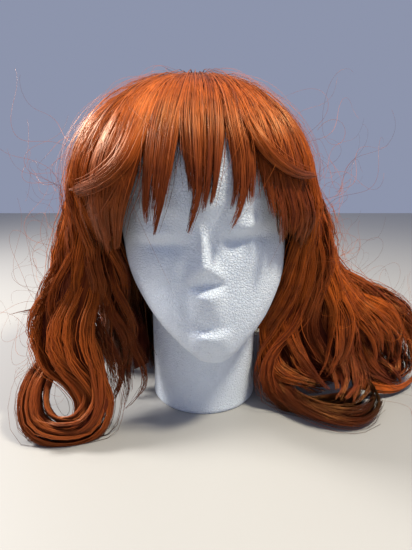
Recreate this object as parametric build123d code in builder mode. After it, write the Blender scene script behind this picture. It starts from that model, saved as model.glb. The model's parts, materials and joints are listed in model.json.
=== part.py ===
"""A hair-training head: a white foam head that wears a long, curled wig on an adjustable cap.

Millimetres, +Z up, the face looks along -Y. The origin is the centre of the neck's base,
on the surface that the head stands on. Each sub-part is one named STEP file in parts/.
"""
from build123d import *
from math import atan2, cos, degrees, hypot, pi, sin
import os

os.makedirs("parts", exist_ok=True)

# ---------------------------------------------------------------- driving dimensions
NECK_RADIUS = 50.0              # the straight foam neck
NECK_TOP = 128.0                # height at which the neck runs into the skull
HEAD_HALF_WIDTH = 76.0          # widest line of the skull, at WIDEST_Z
WIDEST_Z = 200.0
HEAD_TOP = 285.5
BASE_FLARE = 1.2                # rounded lip at the bottom edge of the neck
BORE_RADIUS = 12.5              # blind hole under the neck for a stand's peg
BORE_DEPTH = 70.0

# Nose sections from the bridge down to the tip and the underside: height, half width, y.
NOSE = [(181, 4, -87), (151, 11, -95), (134, 15, -85)]
NOSE_BACK_Y = -80.0             # where the nose's wedge ends inside the face
MOUTH = (-70, 121)              # y and z of the low mounds on the face's middle line
CHIN = (-66.5, 87)
FACE_LEAN = 0.08                # the face's middle line leans: x per millimetre below LEAN_TOP
LEAN_TOP = 165.0
MOUND_RADIUS = 18.0
EYE = (32, -103, 166)           # centre of the ball that presses the right eye's hollow
EYE_RADIUS = 27.0

EDGE_FRONT = (-70, 252)         # y and z of the cap's edge over the forehead
EDGE_BACK = (105, 112)          # y and z of the cap's edge at the nape
BAND_WIDTH = 13.0
BAND_LAYER = (0.5, 1.3)         # distances from the foam of each layer of the cap
NET_LAYER = (1.4, 2.0)
WEFT_LAYER = (2.1, 3.2)
HAIR_INSIDE = 3.6
WEFT_WIDTH = 6.0
WEFT_HEIGHTS = (236, 218, 200, 182, 164, 146)

STRAP_SIZE = (27.0, 1.0, 6.0)   # elastic adjuster: length, thickness, height
STRAP_Z = 124.0
STRAP_CLEARANCE = 0.25
STRAP_ENDS = ((-43.0, 87.0), (-7.0, 102.0))
CASING_LENGTH = 19.0
CASING_WALL = 0.7
HOOK_THICKNESS = 0.9
HOOK_OVERLAP = 3.0              # how far the hook's plate reaches back over the strap
LOOP_WIDTH = 1.2
LOOP_PITCH = 5.0
LOOP_COUNT = 3
INTO_BAND = 12.0                # long enough to reach the nape band, which trims it

TAB_WIDTH = 26.0                # ear tab, centred over the ear at y = 0
TAB_TOP = 198.0
TAB_BOTTOM = 158.0
TAB_CORNER = 9.0
STAY_SIZE = (3.0, 28.0)         # flat spring stay in each tab: width, height
STAY_MARGIN = 4.0               # from the tab's lower end to the stay
SIDE_CUT = (60.0, 40.0)         # where a cut through the side of the head starts, and its depth
BAND_SPLIT_Y = 22.0             # the bands meet in a seam behind each ear tab

PATCH_SIZE = (52.0, 84.0)       # lace patch on the crown: width, length
PATCH_CENTRE = (-4.0, -12.0)
PATCH_CORNER = 20.0
PATCH_CUT = (240.0, 60.0)       # where the cut for the patch starts, and its height

FRINGE_BOTTOM = 178.0
CURTAIN_BOTTOM = 163.0
SIDES_BOTTOM = 150.0
HAIR_TOP = 298.0
WHORL = (-8.0, 12.0)            # where the hair parts, seen from above
HALF_GAP = 0.3                  # half of the gap between neighbouring hair sections

# Skull sections from chin to crown: height, half width, front y, back y.
SKULL = [
    (63.5, 6.5, -73, -59),
    (66.5, 14, -78, -51),
    (72, 22.5, -80.5, -38),
    (81, 33.5, -82, -20),
    (94, 46.5, -83, 0),
    (110, 58, -84, 25),
    (125, 66.5, -84, 50),
    (140, 71.6, -83.5, 70),
    (155, 74, -83, 82),
    (170, 75, -84, 90),
    (185, 75.7, -86, 94.5),
    (WIDEST_Z, HEAD_HALF_WIDTH, -87.5, 96.5),
    (215, 75.5, -87, 96.3),
    (230, 73.5, -83.5, 94),
    (245, 69, -76, 89),
    (258, 61, -65.5, 81),
    (268, 51.5, -53.5, 70),
    (276, 40, -39.5, 56),
    (282, 27, -24.5, 39),
    (HEAD_TOP, 12, -8, 21),
]

# Below its widest line the cap hangs away from the skull, so that the wig lifts straight off.
CAP_SKIRT = [
    (60, 81, -92, 106),
    (100, 81, -92, 106),
    (125, 80.5, -91, 105.5),
    (150, 79, -90, 102.5),
    (175, 77.2, -88.5, 98.5),
]

# The hair's outside from the jaw to the crown: height, left x, right x, front y, back y.
HAIR_OUTSIDE = [
    (140, -132, 122, -96, 128),
    (160, -126, 115, -98, 129),
    (180, -124, 110, -100, 129),
    (200, -123, 105, -101, 128),
    (220, -121, 98, -100, 125),
    (240, -113, 88, -94, 119),
    (256, -98, 75, -84, 110),
    (270, -79, 61, -71, 97),
    (281, -60, 46, -54, 80),
    (290, -42, 28, -34, 58),
    (295.5, -26, 12, -15, 36),
    (HAIR_TOP, -15, -1, -2, 22),
]


# ---------------------------------------------------------------- shared shapes
def lean(height):
    """Sideways place of the face's middle line at a height."""
    return FACE_LEAN * max(0.0, LEAN_TOP - height)


def outline(left, right, front, back, ridge=0.0, count=18):
    """Points of a closed curve that reaches the four extents; its front and back are at ridge."""
    middle = (front + back) / 2
    reach = (back - front) / 2
    turns = [2 * pi * step / count for step in range(count)]
    return [
        (
            ridge + ((right - ridge) if sin(turn) > 0 else (ridge - left)) * sin(turn),
            middle - reach * cos(turn),
        )
        for turn in turns
    ]


def stacked_form(sections, ridge=lambda height: 0.0):
    """One smooth solid through level outlines, given as z, left, right, front and back."""
    with BuildPart() as form:
        for height, left, right, front, back in sections:
            with BuildSketch(Plane.XY.offset(height)):
                with BuildLine():
                    Spline(*outline(left, right, front, back, ridge(height)), periodic=True)
                make_face()
        loft()
    return form.part


def grown(height, half, front, back, layer):
    """One skull section moved outwards by a layer's distance, and upwards near the crown."""
    rise = max(0.0, (height - WIDEST_Z) / (HEAD_TOP - WIDEST_Z)) * layer
    return height + rise, -half - layer, half + layer, front - layer, back + layer


def cap_form(layer):
    """The skull above its widest line and the cap's loose skirt below it, one layer out."""
    dome = [section for section in SKULL if section[0] >= WIDEST_Z]
    return stacked_form([grown(*section, layer) for section in CAP_SKIRT + dome])


def cap_edge(offset):
    """The sloping plane of the cap's edge, moved up the head by an offset."""
    run = EDGE_BACK[0] - EDGE_FRONT[0]
    drop = EDGE_BACK[1] - EDGE_FRONT[1]
    slope = hypot(run, drop)
    normal = (0, -drop / slope, run / slope)
    start = (0, EDGE_FRONT[0] + normal[1] * offset, EDGE_FRONT[1] + normal[2] * offset)
    return Plane(origin=start, x_dir=(1, 0, 0), z_dir=normal)


LAYERS = {
    distance: cap_form(distance)
    for distance in (*BAND_LAYER, *NET_LAYER, *WEFT_LAYER, HAIR_INSIDE)
}


def layer_shell(layer):
    """The closed shell between the two distances of a layer, without the skirt's open end."""
    with BuildPart() as shell:
        add(LAYERS[layer[1]])
        add(LAYERS[layer[0]], mode=Mode.SUBTRACT)
    return shell.part


def export(piece, name):
    piece.part.label = name
    export_step(piece.part, f"parts/{name}.step")


# ---------------------------------------------------------------- foam head
with BuildPart() as foam_head:
    skull = [(z, lean(z) - half, lean(z) + half, front, back) for z, half, front, back in SKULL]
    add(stacked_form(skull, lean))
    with BuildSketch():
        Circle(NECK_RADIUS)
    extrude(amount=NECK_TOP)
    # nose: a wedge that grows from the bridge to its tip and turns under
    for height, half, ridge_y in NOSE:
        with BuildSketch(Plane.XY.offset(height)):
            with BuildLine():
                Polyline(
                    (lean(height) - half, NOSE_BACK_Y),
                    (lean(height), ridge_y),
                    (lean(height) + half, NOSE_BACK_Y),
                    close=True,
                )
            make_face()
    loft(ruled=True)
    # low mouth and chin mounds on the face's middle line
    with Locations(*((lean(z), y, z) for y, z in (MOUTH, CHIN))):
        Sphere(MOUND_RADIUS)
    # shallow eye hollows
    with Locations((-EYE[0], *EYE[1:]), EYE):
        Sphere(EYE_RADIUS, mode=Mode.SUBTRACT)
    # blind hole for a stand's peg
    standing = (Align.CENTER, Align.CENTER, Align.MIN)
    Cylinder(BORE_RADIUS, BORE_DEPTH, align=standing, mode=Mode.SUBTRACT)
    base_edges = foam_head.faces().sort_by(Axis.Z)[0].outer_wire().edges()
    fillet(base_edges, BASE_FLARE)
export(foam_head, "foam_head")

# ---------------------------------------------------------------- the cap
band_shell = layer_shell(BAND_LAYER)
net_shell = layer_shell(NET_LAYER)
weft_shell = layer_shell(WEFT_LAYER)

with BuildPart() as cap_net:
    add(net_shell)
    split(bisect_by=cap_edge(0), keep=Keep.TOP)
export(cap_net, "cap_net")

with BuildPart() as edge_ring:
    add(band_shell)
    split(bisect_by=cap_edge(0), keep=Keep.TOP)
    split(bisect_by=cap_edge(BAND_WIDTH), keep=Keep.BOTTOM)

with BuildPart() as front_band:
    add(edge_ring.part)
    split(bisect_by=Plane.XZ.offset(-BAND_SPLIT_Y), keep=Keep.TOP)
export(front_band, "front_band")

with BuildPart() as nape_band:
    add(edge_ring.part)
    split(bisect_by=Plane.XZ.offset(-BAND_SPLIT_Y - HALF_GAP), keep=Keep.BOTTOM)
export(nape_band, "nape_band")

for side, name in ((-1, "left"), (1, "right")):
    with BuildPart() as ear_tab:
        with BuildSketch(Plane.YZ.offset(side * SIDE_CUT[0])):
            with Locations((0, (TAB_TOP + TAB_BOTTOM) / 2)):
                RectangleRounded(TAB_WIDTH, TAB_TOP - TAB_BOTTOM, TAB_CORNER)
        extrude(amount=side * SIDE_CUT[1])
        add(band_shell, mode=Mode.INTERSECT)
        split(bisect_by=cap_edge(-0.2), keep=Keep.BOTTOM)
    export(ear_tab, f"{name}_ear_tab")

    with BuildPart() as tab_stay:
        with BuildSketch(Plane.YZ.offset(side * SIDE_CUT[0])):
            with Locations((0, TAB_BOTTOM + STAY_MARGIN + STAY_SIZE[1] / 2)):
                SlotOverall(STAY_SIZE[1], STAY_SIZE[0], rotation=90)
        extrude(amount=side * SIDE_CUT[1])
        add(net_shell, mode=Mode.INTERSECT)
        split(bisect_by=cap_edge(-0.4), keep=Keep.BOTTOM)
    export(tab_stay, f"{name}_tab_stay")

with BuildPart() as crown_patch:
    with BuildSketch(Plane.XY.offset(PATCH_CUT[0])):
        with Locations(PATCH_CENTRE):
            RectangleRounded(*PATCH_SIZE, PATCH_CORNER)
    extrude(amount=PATCH_CUT[1])
    add(weft_shell, mode=Mode.INTERSECT)
export(crown_patch, "crown_patch")

for number, height in enumerate(WEFT_HEIGHTS, start=1):
    with BuildPart() as weft:
        add(weft_shell)
        split(bisect_by=Plane.XY.offset(height - WEFT_WIDTH / 2), keep=Keep.TOP)
        split(bisect_by=Plane.XY.offset(height + WEFT_WIDTH / 2), keep=Keep.BOTTOM)
        split(bisect_by=cap_edge(BAND_WIDTH / 2), keep=Keep.TOP)
    export(weft, f"weft_{number}")

# ---------------------------------------------------------------- adjusters at the nape
(strap_x, strap_y), (tip_x, tip_y) = STRAP_ENDS
strap_run = hypot(tip_x - strap_x, tip_y - strap_y)
strap_turn = degrees(atan2(tip_y - strap_y, tip_x - strap_x))
hook_start = STRAP_SIZE[0] - HOOK_OVERLAP
strap_half = STRAP_SIZE[1] / 2
slot_half = strap_half + STRAP_CLEARANCE


def chord_box(start, length, inner, outer, height):
    """A box on the left adjuster's line: start and length along it, inner and outer across it."""
    line = Plane(origin=(strap_x, strap_y, STRAP_Z)).rotated((0, 0, strap_turn))
    corner = line.from_local_coords(Vector(start, inner, -height / 2))
    base = Plane(origin=corner, x_dir=line.x_dir, z_dir=line.z_dir)
    return Solid.make_box(length, outer - inner, height, base)


def across(piece, side):
    """The left piece itself, or its mirror image on the right."""
    return piece if side < 0 else piece.mirror(Plane.YZ)


for side, name in ((-1, "left"), (1, "right")):
    with BuildPart() as strap_casing:
        block = chord_box(-3, CASING_LENGTH, -slot_half - CASING_WALL, 9, STRAP_SIZE[2] + 3)
        add(across(block, side))
        add(LAYERS[BAND_LAYER[0]], mode=Mode.INTERSECT)
        slot_height = STRAP_SIZE[2] + 2 * STRAP_CLEARANCE
        slot = chord_box(-4, CASING_LENGTH + 2, -slot_half, slot_half, slot_height)
        add(across(slot, side), mode=Mode.SUBTRACT)
    export(strap_casing, f"{name}_strap_casing")

    with BuildPart() as adjuster_strap:
        strap = chord_box(0, STRAP_SIZE[0], -strap_half, strap_half, STRAP_SIZE[2])
        add(across(strap, side))
    export(adjuster_strap, f"{name}_adjuster_strap")

    with BuildPart() as adjuster_hook:
        hook_face = strap_half + HOOK_THICKNESS
        plate = chord_box(hook_start - 2, 5, strap_half, hook_face, 7)
        arm = chord_box(hook_start + 3, 4.5, strap_half - 0.7, hook_face, 3)
        add(across(plate, side))
        add(across(arm, side))
    export(adjuster_hook, f"{name}_adjuster_hook")

    with BuildPart() as hook_loops:
        for step in range(LOOP_COUNT):
            place = hook_start + 5 + step * LOOP_PITCH
            leg = chord_box(place, LOOP_WIDTH, strap_half + HOOK_THICKNESS + 0.5, INTO_BAND, 5)
            add(across(leg, side))
        add(LAYERS[BAND_LAYER[0]], mode=Mode.INTERSECT)
    export(hook_loops, f"{name}_hook_loops")

# ---------------------------------------------------------------- hair on the crown
with BuildPart() as hair_mass:
    add(stacked_form(HAIR_OUTSIDE))
    add(LAYERS[HAIR_INSIDE], mode=Mode.SUBTRACT)


def wedge(first, last, bottom):
    """A sector about the whorl, from one bearing to another; 0 is the front, 90 the right."""
    reach = 260                 # past the whole wig
    middle = (first + last) / 2
    corners = [WHORL]
    for bearing in (first, middle, last):
        turn = bearing * pi / 180
        corners.append((WHORL[0] + reach * sin(turn), WHORL[1] - reach * cos(turn)))
    with BuildPart() as sector:
        with BuildSketch(Plane.XY.offset(bottom)):
            with BuildLine():
                Polyline(*corners, close=True)
            make_face()
            offset(amount=-HALF_GAP, kind=Kind.INTERSECTION)
        extrude(amount=HAIR_TOP + 20 - bottom)
    return sector.part


# Sections of the crown hair: name, first bearing, last bearing, height of the lower end.
CROWN_SECTIONS = [
    ("fringe_left", -34, -11, FRINGE_BOTTOM),
    ("fringe_centre", -11, 13, FRINGE_BOTTOM),
    ("fringe_right", 13, 36, FRINGE_BOTTOM),
    ("left_curtain", -62, -34, CURTAIN_BOTTOM),
    ("right_curtain", 36, 64, CURTAIN_BOTTOM),
    ("left_crown_hair", -112, -62, SIDES_BOTTOM),
    ("right_crown_hair", 64, 112, SIDES_BOTTOM),
    ("left_back_hair", -180, -112, SIDES_BOTTOM),
    ("right_back_hair", 112, 180, SIDES_BOTTOM),
]
for name, first, last, bottom in CROWN_SECTIONS:
    with BuildPart() as section:
        add(wedge(first, last, bottom))
        add(hair_mass.part, mode=Mode.INTERSECT)
    export(section, name)


# ---------------------------------------------------------------- hanging locks and curls
def lock(stations):
    """A loft through ellipses: each station is a place and the half sizes along X and across."""
    places = [Vector(*station[:3]) for station in stations]
    with BuildPart() as strand:
        for number, station in enumerate(stations):
            before = places[max(number - 1, 0)]
            after = places[min(number + 1, len(places) - 1)]
            level = number in (0, len(places) - 1)
            heading = Vector(0, 0, -1) if level else (after - before).normalized()
            sideways = heading.cross(Vector(0, 1, 0)).normalized()
            with BuildSketch(Plane(origin=places[number], x_dir=sideways, z_dir=heading)):
                Ellipse(station[3], station[4])
        loft()
    return strand


def curl(centre, ring_radius, strand_radius, lean):
    """A ring of hair; lean is the angle in degrees that tips it up about X."""
    base = Plane(origin=centre).rotated((lean, 0, 0))
    with BuildPart() as ring:
        with BuildSketch(Plane(origin=base.origin, x_dir=base.x_dir, z_dir=-base.y_dir)):
            with Locations((ring_radius, 0)):
                Circle(strand_radius)
        revolve(axis=Axis(base.origin, base.z_dir), revolution_arc=360)
    return ring


LOCKS = {
    "left_side_lock": [
        (-103, -16, 149, 24, 30),
        (-112, -20, 122, 30, 27),
        (-116, -32, 98, 33, 21),
        (-113, -46, 79, 24, 14),
    ],
    "left_inner_lock": [
        (-92, -22, 72, 11, 12),
        (-89, -22, 45, 10, 13),
        (-88, -20, 22, 10, 14),
        (-88, -18, 1, 10, 14),
    ],
    "left_back_lock": [
        (-104, 50, 149, 21, 32),
        (-110, 50, 110, 21, 28),
        (-112, 50, 70, 20, 26),
        (-114, 50, 32, 20, 22),
    ],
    "right_side_lock": [
        (99, -12, 149, 20, 28),
        (106, -14, 118, 26, 26),
        (113, -18, 84, 33, 24),
        (118, -24, 36, 34, 24),
    ],
    "right_back_lock": [
        (104, 52, 149, 19, 34),
        (118, 56, 118, 28, 30),
        (136, 60, 88, 36, 26),
        (150, 62, 46, 34, 26),
    ],
    "nape_lock_left": [
        (-48, 117, 149, 30, 9),
        (-52, 122, 100, 29, 12),
        (-56, 126, 60, 28, 14),
        (-58, 128, 30, 26, 14),
    ],
    "nape_lock_centre": [
        (3, 122, 149, 20, 10),
        (3, 126, 100, 22, 12),
        (2, 130, 60, 24, 14),
        (2, 132, 30, 24, 14),
    ],
    "nape_lock_right": [
        (54, 117, 149, 30, 9),
        (58, 122, 100, 29, 12),
        (62, 126, 60, 28, 14),
        (64, 128, 30, 26, 14),
    ],
}
for name, stations in LOCKS.items():
    export(lock(stations), name)

# Rings of hair at the ends of the locks: centre, ring radius, strand radius, lean.
CURLS = {
    "left_front_curl": ((-117, -73, 33.2), 27, 10, 58),
    "left_back_curl": ((-122, 48, 15), 26, 14.5, 0),
    "right_front_curl": ((122, -29, 17), 32, 15.5, 0),
    "right_outer_curl": ((194, 24, 16), 24, 14, 0),
    "right_back_curl": ((142, 84, 14), 25, 13.5, 0),
    "nape_curl_left": ((-72, 130, 14), 25, 13.5, 0),
    "nape_curl_centre": ((5, 138, 14), 22, 13, 0),
    "nape_curl_right": ((80, 132, 14), 25, 13.5, 0),
}
for name, (centre, ring_radius, strand_radius, lean) in CURLS.items():
    export(curl(centre, ring_radius, strand_radius, lean), name)
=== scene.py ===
"""A hair-training head: a white bead-foam head that wears a long, curled copper wig.

Laid out as an add-on and run as a script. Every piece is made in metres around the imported
frame, with its place in its mesh. Lengths named below are in millimetres unless a name ends
in _M, and MM turns them into metres.
"""
import json

import bpy
import numpy as np
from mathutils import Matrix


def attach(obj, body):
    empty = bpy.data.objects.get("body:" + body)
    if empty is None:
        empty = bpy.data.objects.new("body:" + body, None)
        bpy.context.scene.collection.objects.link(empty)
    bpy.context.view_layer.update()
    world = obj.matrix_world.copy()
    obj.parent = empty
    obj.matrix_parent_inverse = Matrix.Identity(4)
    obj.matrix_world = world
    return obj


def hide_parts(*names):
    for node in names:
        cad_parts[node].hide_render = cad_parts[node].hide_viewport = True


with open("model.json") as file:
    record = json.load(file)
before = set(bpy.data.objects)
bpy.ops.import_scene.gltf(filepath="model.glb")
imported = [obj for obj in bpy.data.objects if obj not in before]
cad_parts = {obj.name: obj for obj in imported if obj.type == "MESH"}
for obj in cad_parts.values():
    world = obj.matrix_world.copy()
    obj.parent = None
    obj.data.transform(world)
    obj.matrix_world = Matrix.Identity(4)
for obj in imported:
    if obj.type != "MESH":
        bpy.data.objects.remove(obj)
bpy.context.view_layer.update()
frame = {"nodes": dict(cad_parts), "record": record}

bl_info = {
    "name": "Hair training head",
    "version": (1, 0, 0),
    "blender": (4, 5, 0),
    "location": "3D View > Sidebar > Training head",
    "description": "Foam head, wig cap and long curled wig, built around the packed frame",
    "category": "Object",
}

MM = 0.001
SEED = 20

# ------------------------------------------------------------------ the head's form
# Skull sections: height, half width, front y, back y.
SKULL = np.array([
    (63.5, 6.5, -73, -59), (66.5, 14, -78, -51), (72, 22.5, -80.5, -38), (81, 33.5, -82, -20),
    (94, 46.5, -83, 0), (110, 58, -84, 25), (125, 66.5, -84, 50), (140, 71.6, -83.5, 70),
    (155, 74, -83, 82), (170, 75, -84, 90), (185, 75.7, -86, 94.5), (200, 76, -87.5, 96.5),
    (215, 75.5, -87, 96.3), (230, 73.5, -83.5, 94), (245, 69, -76, 89), (258, 61, -65.5, 81),
    (268, 51.5, -53.5, 70), (276, 40, -39.5, 56), (282, 27, -24.5, 39), (285.5, 12, -8, 21),
], float)
CROWN_Z = 286.2
FACE_LEAN = 0.08                # the face's middle line leans: x per millimetre below LEAN_TOP
LEAN_TOP = 165.0
WIDEST_Z = 200.0
CAP_EDGE_FRONT = (-70.0, 252.0)
CAP_EDGE_BACK = (105.0, 112.0)
CAP_THICKNESS = 3.4
NET_IN, NET_OUT = 1.4, 1.9        # the cap net's sides, above the skull

# The hair's outer form: an egg about this centre, upright below the centre's height.
HAIR_CENTRE = np.array([-8.0, 8.0, 200.0])
HAIR_LEFT, HAIR_RIGHT, HAIR_FRONT, HAIR_BACK, HAIR_UP = 114.0, 107.0, 106.0, 118.0, 97.0


# ------------------------------------------------------------------ number helpers
def smooth(low, high, value):
    """0 below low, 1 above high, and an S-curve between them."""
    share = np.clip((value - low) / (high - low), 0, 1)
    return share * share * (3 - 2 * share)


def unit(vectors):
    """Vectors scaled to length 1; a zero vector stays zero."""
    length = np.linalg.norm(vectors, axis=-1, keepdims=True)
    return vectors / np.maximum(length, 1e-9)


def through(knots, values, at):
    """A cubic line through values at knots; each slope is the weighted mean of its two runs."""
    runs = np.diff(knots)[:, None]
    rises = np.diff(values, axis=0) / runs
    slopes = np.empty_like(values)
    slopes[0], slopes[-1] = rises[0], rises[-1]
    slopes[1:-1] = (rises[:-1] * runs[1:] + rises[1:] * runs[:-1]) / (runs[1:] + runs[:-1])
    part = np.clip(np.searchsorted(knots, at, side="right") - 1, 0, len(runs) - 1)
    run = runs[part]
    share = ((at - knots[part]) / run[..., 0])[..., None]
    cube, square = share**3, share**2
    return (
        values[part] * (2 * cube - 3 * square + 1)
        + values[part + 1] * (3 * square - 2 * cube)
        + slopes[part] * run * (cube - 2 * square + share)
        + slopes[part + 1] * run * (cube - square)
    )


def mound(place, centre, spread):
    """A bell curve of height 1 about centre, spread wide."""
    return np.exp(-(((place - centre) / spread) ** 2))


# ------------------------------------------------------------------ mesh helpers
def make_mesh(name, corners, quads, triangles=None, values=None, facing=None, core=None):
    """A mesh object in metres from corner places in millimetres and arrays of corner numbers.

    values are numbers at the corners. facing gives shading normals, with no number at a corner
    that keeps its own. core says which corners belong to a lock's core: faces on them take the
    piece's second material.
    """
    triangles = np.empty((0, 3), int) if triangles is None else np.asarray(triangles, int)
    quads = np.asarray(quads, int).reshape(-1, 4)
    mesh = bpy.data.meshes.new(name)
    places = np.asarray(corners, np.float32).reshape(-1, 3) * MM
    mesh.vertices.add(len(places))
    mesh.vertices.foreach_set("co", places.ravel())
    loops = np.concatenate([quads.ravel(), triangles.ravel()]).astype(np.int32)
    mesh.loops.add(len(loops))
    mesh.loops.foreach_set("vertex_index", loops)
    starts = np.concatenate([
        np.arange(len(quads)) * 4,
        len(quads) * 4 + np.arange(len(triangles)) * 3,
    ]).astype(np.int32)
    mesh.polygons.add(len(starts))
    mesh.polygons.foreach_set("loop_start", starts)
    mesh.polygons.foreach_set("use_smooth", np.ones(len(starts), bool))
    if core is not None:
        mesh.polygons.foreach_set("material_index", core[loops[starts]].astype(np.int32))
    mesh.update(calc_edges=True)
    for key, numbers in (values or {}).items():
        attribute = mesh.attributes.new(key, "FLOAT", "POINT")
        attribute.data.foreach_set("value", np.asarray(numbers, np.float32).ravel())
    if facing is not None:
        own = np.empty(len(places) * 3, np.float32)
        mesh.vertex_normals.foreach_get("vector", own)
        normals = np.where(np.isfinite(facing), facing, own.reshape(-1, 3))
        mesh.normals_split_custom_set_from_vertices(unit(normals))
    piece = bpy.data.objects.new(name, mesh)
    bpy.context.scene.collection.objects.link(piece)
    return piece


def grid_quads(rows, columns, closed=True, first=0):
    """Corner numbers of the quads of a grid whose columns join up into rings if closed."""
    last = columns if closed else columns - 1
    row, column = np.meshgrid(np.arange(rows - 1), np.arange(last), indexing="ij")
    beside = (column + 1) % columns
    corners = [row * columns + column, row * columns + beside,
               (row + 1) * columns + beside, (row + 1) * columns + column]
    return np.stack(corners, -1).reshape(-1, 4) + first


def place(piece, body, slot, materials, replaced=()):
    """Finishes a piece: its materials, its body and the nodes it stands for, which it hides. The slot is not used."""
    for material in materials:
        piece.data.materials.append(material)
    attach(piece, body)
    if replaced:
        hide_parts(*replaced)
    return piece


# ------------------------------------------------------------------ foam head surface
def skull_radius(theta, height):
    """Reach of the skull's egg section from the neck's axis, at a bearing and a height.

    The egg at each height is an ellipse whose middle lies off the axis; the reach is the
    larger root of the ellipse's equation along the bearing.
    """
    sizes = through(SKULL[:, 0], SKULL[:, 1:], np.clip(height, SKULL[0, 0], SKULL[-1, 0]))
    half, front, back = sizes[..., 0], sizes[..., 1], sizes[..., 2]
    aside = FACE_LEAN * np.maximum(LEAN_TOP - height, 0)
    middle, depth = (front + back) / 2, (back - front) / 2
    sine, cosine = np.sin(theta), np.cos(theta)
    square = (sine / half) ** 2 + (cosine / depth) ** 2
    linear = cosine * middle / depth**2 - sine * aside / half**2
    rest = (middle / depth) ** 2 + (aside / half) ** 2 - 1
    inside = linear**2 - square * rest
    reach = (-linear + np.sqrt(np.maximum(inside, 0))) / square
    reach = np.where((inside > 0) & (height >= SKULL[0, 0]), reach, 0)
    crown = np.sqrt(np.clip((CROWN_Z - height) / (CROWN_Z - SKULL[-1, 0]), 0, 1))
    return np.maximum(reach, 0) * np.where(height > SKULL[-1, 0], crown, 1)


def face_relief(x, height):
    """Height of the plain moulded face above the egg.

    The nose is the lower of three planes: its two sides and the flat facet under its tip. Eyes,
    cheeks, mouth and chin are bells and ramps. All of it leans with the face's middle line.
    """
    aside = np.abs(x - FACE_LEAN * (LEAN_TOP - height))
    up = height - FACE_LEAN * x
    nose = np.clip(np.minimum(0.40 * (183 - up) - 1.15 * aside, 0.75 * (up - 134)), 0, 20)
    beside_nose = -3.2 * mound(aside, 21, 8) * mound(up, 168, 14)
    brow = 1.6 * mound(aside, 30, 20) * mound(up, 192, 7)
    eyeball = 4.4 * mound(aside, 33, 14) * mound(up, 176, 7)
    under_eye = -4.6 * mound(aside, 32, 17) * mound(up, 165, 4.5)
    cheek = 2.4 * mound(aside, 40, 20) * mound(up, 150, 13)
    mouth_ramp = np.clip((up - 95) / 31, 0, 1) * (1 - smooth(126, 133, up))
    mouth = 8.5 * mouth_ramp * np.clip(1 - (aside / 16) ** 2, 0, 1) ** 1.5
    chin_ramp = np.clip((up - 72) / 19, 0, 1) * (1 - smooth(91, 98, up))
    chin = 6.5 * chin_ramp * np.clip(1 - (aside / 19) ** 2, 0, 1) ** 1.5
    return nose + beside_nose + brow + eyeball + under_eye + cheek + mouth + chin


RADIUS_ROWS = np.arange(0, CROWN_Z + 0.6, 0.6)
RADIUS_COLUMNS = np.linspace(-np.pi, np.pi, 321)


def head_radius_table():
    """Reach of the whole foam head over a grid of heights and bearings.

    It is the larger of the neck and the skull with the face on it, blurred a little along
    the height, which rounds the edge of the jaw.
    """
    height, theta = np.meshgrid(RADIUS_ROWS, RADIUS_COLUMNS, indexing="ij")
    skull = skull_radius(theta, height)
    x = skull * np.sin(theta)
    in_front = smooth(0.1, 0.55, np.cos(theta))
    skull = skull + np.where(skull > 0, face_relief(x, height) * in_front, 0)
    seam = 0.25 * mound(np.abs(theta), np.pi / 2, 0.006)
    skull = skull + np.where(skull > 0, seam, 0)
    settings = bpy.context.scene.training_head
    neck = settings.neck_radius / MM + 0.9 * mound(height, 0, 9) - 1.3 * mound(height, 0, 1.2)
    neck = np.where(height < 140, neck, 0)
    joined = np.maximum(neck, skull)
    reach = 6
    weights = mound(np.arange(-reach, reach + 1), 0, 2.6)
    weights /= weights.sum()
    padded = np.pad(joined, ((reach, reach), (0, 0)), mode="edge")
    padded[-reach:] = 0
    blurred = sum(w * padded[i:i + len(joined)] for i, w in enumerate(weights))
    sharp = np.maximum(smooth(40, 20, height), smooth(262, 280, height))
    return blurred * (1 - sharp) + joined * sharp


HEAD = {}


def head_reach(places):
    """Reach of the foam head at each place's bearing and height, from the table."""
    theta = np.arctan2(places[..., 0], -places[..., 1])
    row = np.clip(places[..., 2] / 0.6, 0, len(RADIUS_ROWS) - 1.001)
    column = np.clip((theta + np.pi) / (2 * np.pi) * 320, 0, 319.999)
    i, j = row.astype(int), column.astype(int)
    f, g = row - i, column - j
    table = HEAD["radius"]
    found = ((table[i, j] * (1 - g) + table[i, j + 1] * g) * (1 - f)
             + (table[i + 1, j] * (1 - g) + table[i + 1, j + 1] * g) * f)
    return np.where(places[..., 2] < CROWN_Z, found, 0)


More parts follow.
